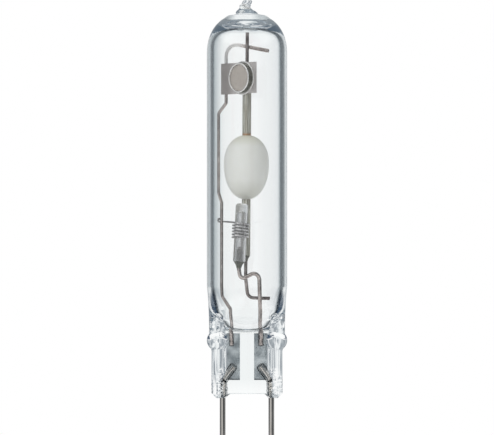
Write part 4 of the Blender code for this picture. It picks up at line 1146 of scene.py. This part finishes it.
def pinch_relief(tree, spot):
    """The marks of the jaws: folds up the rails, crumples round the pins and swirls above the bosses."""
    parts = node(tree, "SeparateXYZ", [spot]).outputs
    aside = node(tree, "Math", [parts["X"]], operation="ABSOLUTE")
    in_rail = node(tree, "MapRange", (aside, in_rail_from, in_rail_to))
    in_pinch = node(tree, "MapRange", (parts["Z"], folds_end, folds_start))
    by_pin = near(tree, aside, pin_x, crumple_reach, crumple_core, crumple_share)
    by_foot = node(tree, "MapRange", (parts["Z"], crumples_end, crumples_start))
    by_neck = near(tree, parts["Z"], swirl_height, swirl_reach, swirl_core, swirl_share)
    height = 0.0
    for size, stretch, detail, mask, other_mask in (
            (fold_width, 0.1, 0.5, in_rail, in_pinch), (crumple_size, 1.0, 1.0, by_pin, by_foot),
            (swirl_size, 1.0, 0.0, by_neck, in_rail)):
        along = node(tree, "Mapping", {"Vector": spot, "Scale": (1, 1, stretch)})
        lumps = node(tree, "TexNoise", {"Vector": along, "Scale": 1 / size, "Detail": detail})
        masked = node(tree, "Math", (mask, other_mask), operation="MULTIPLY")
        height = node(tree, "Math", (lumps, masked, height), operation="MULTIPLY_ADD")
    return node(tree, "Bump", {"Height": height, "Strength": 1.0, "Distance": fold_depth})


def quartz_surface(name, outside, inside=None, ior=quartz_ior):
    """Clear glass, its shade painted by the slant it is seen at; inside is that shade from the wall's own
    side.
    """
    material, tree, spot = blank(name)
    slant = node(tree, "LayerWeight", {"Blend": 0.5}).outputs["Facing"]
    tint = node(tree, "ValToRGB", [slant], outside)
    glass = {"Roughness": 0.0, "IOR": ior}
    if inside:
        from_wall = node(tree, "NewGeometry").outputs["Backfacing"]
        second, share = node(tree, "ValToRGB", [slant], inside), from_wall
    else:
        along = node(tree, "Mapping", {"Vector": spot, "Scale": (1, 1, 0.004)})
        streaks = node(tree, "TexNoise", {"Vector": along, "Scale": 1 / draw_streak, "Detail": 2.0})
        second, share = streak_tone, node(tree, "MapRange", (streaks, 0.45, 0.75))
        glass["Normal"] = pinch_relief(tree, spot)
    glass["Color"] = node(tree, "Mix", {0: share, 6: tint, 7: second}, data_type="RGBA")
    ray = node(tree, "LightPath").outputs
    open_way = node(tree, "BsdfTransparent", [lamp_through_tone])
    lit = node(tree, "MixShader", (ray["Is Shadow Ray"], node(tree, "BsdfGlass", glass), open_way))
    # Rays that have mirrored too often in the wall end in painted slate patches that glow.
    trapped = node(tree, "Math", (ray["Glossy Depth"], turns_in_wall), operation="GREATER_THAN")
    patches = node(tree, "TexNoise", {"Vector": spot, "Scale": 1 / trapped_glow_patch, "Detail": 1.0})
    held = node(tree, "Emission", (node(tree, "ValToRGB", [patches], trapped_glow_stops), 1.0))
    node(tree, "OutputMaterial", [node(tree, "MixShader", (trapped, lit, held))])
    return material


dress("outer_bulb", "quartz", "quartz_bulb", bm, quartz_surface("clear_quartz_outside", outside_stops),
      quartz_surface("clear_quartz_bore", bore_stops, wall_shade_stops),
      quartz_surface("quartz_wetting_metal", channel_edge_shade_stops, channel_edge_shade_stops, ior=1.0), smooth_angle=50)
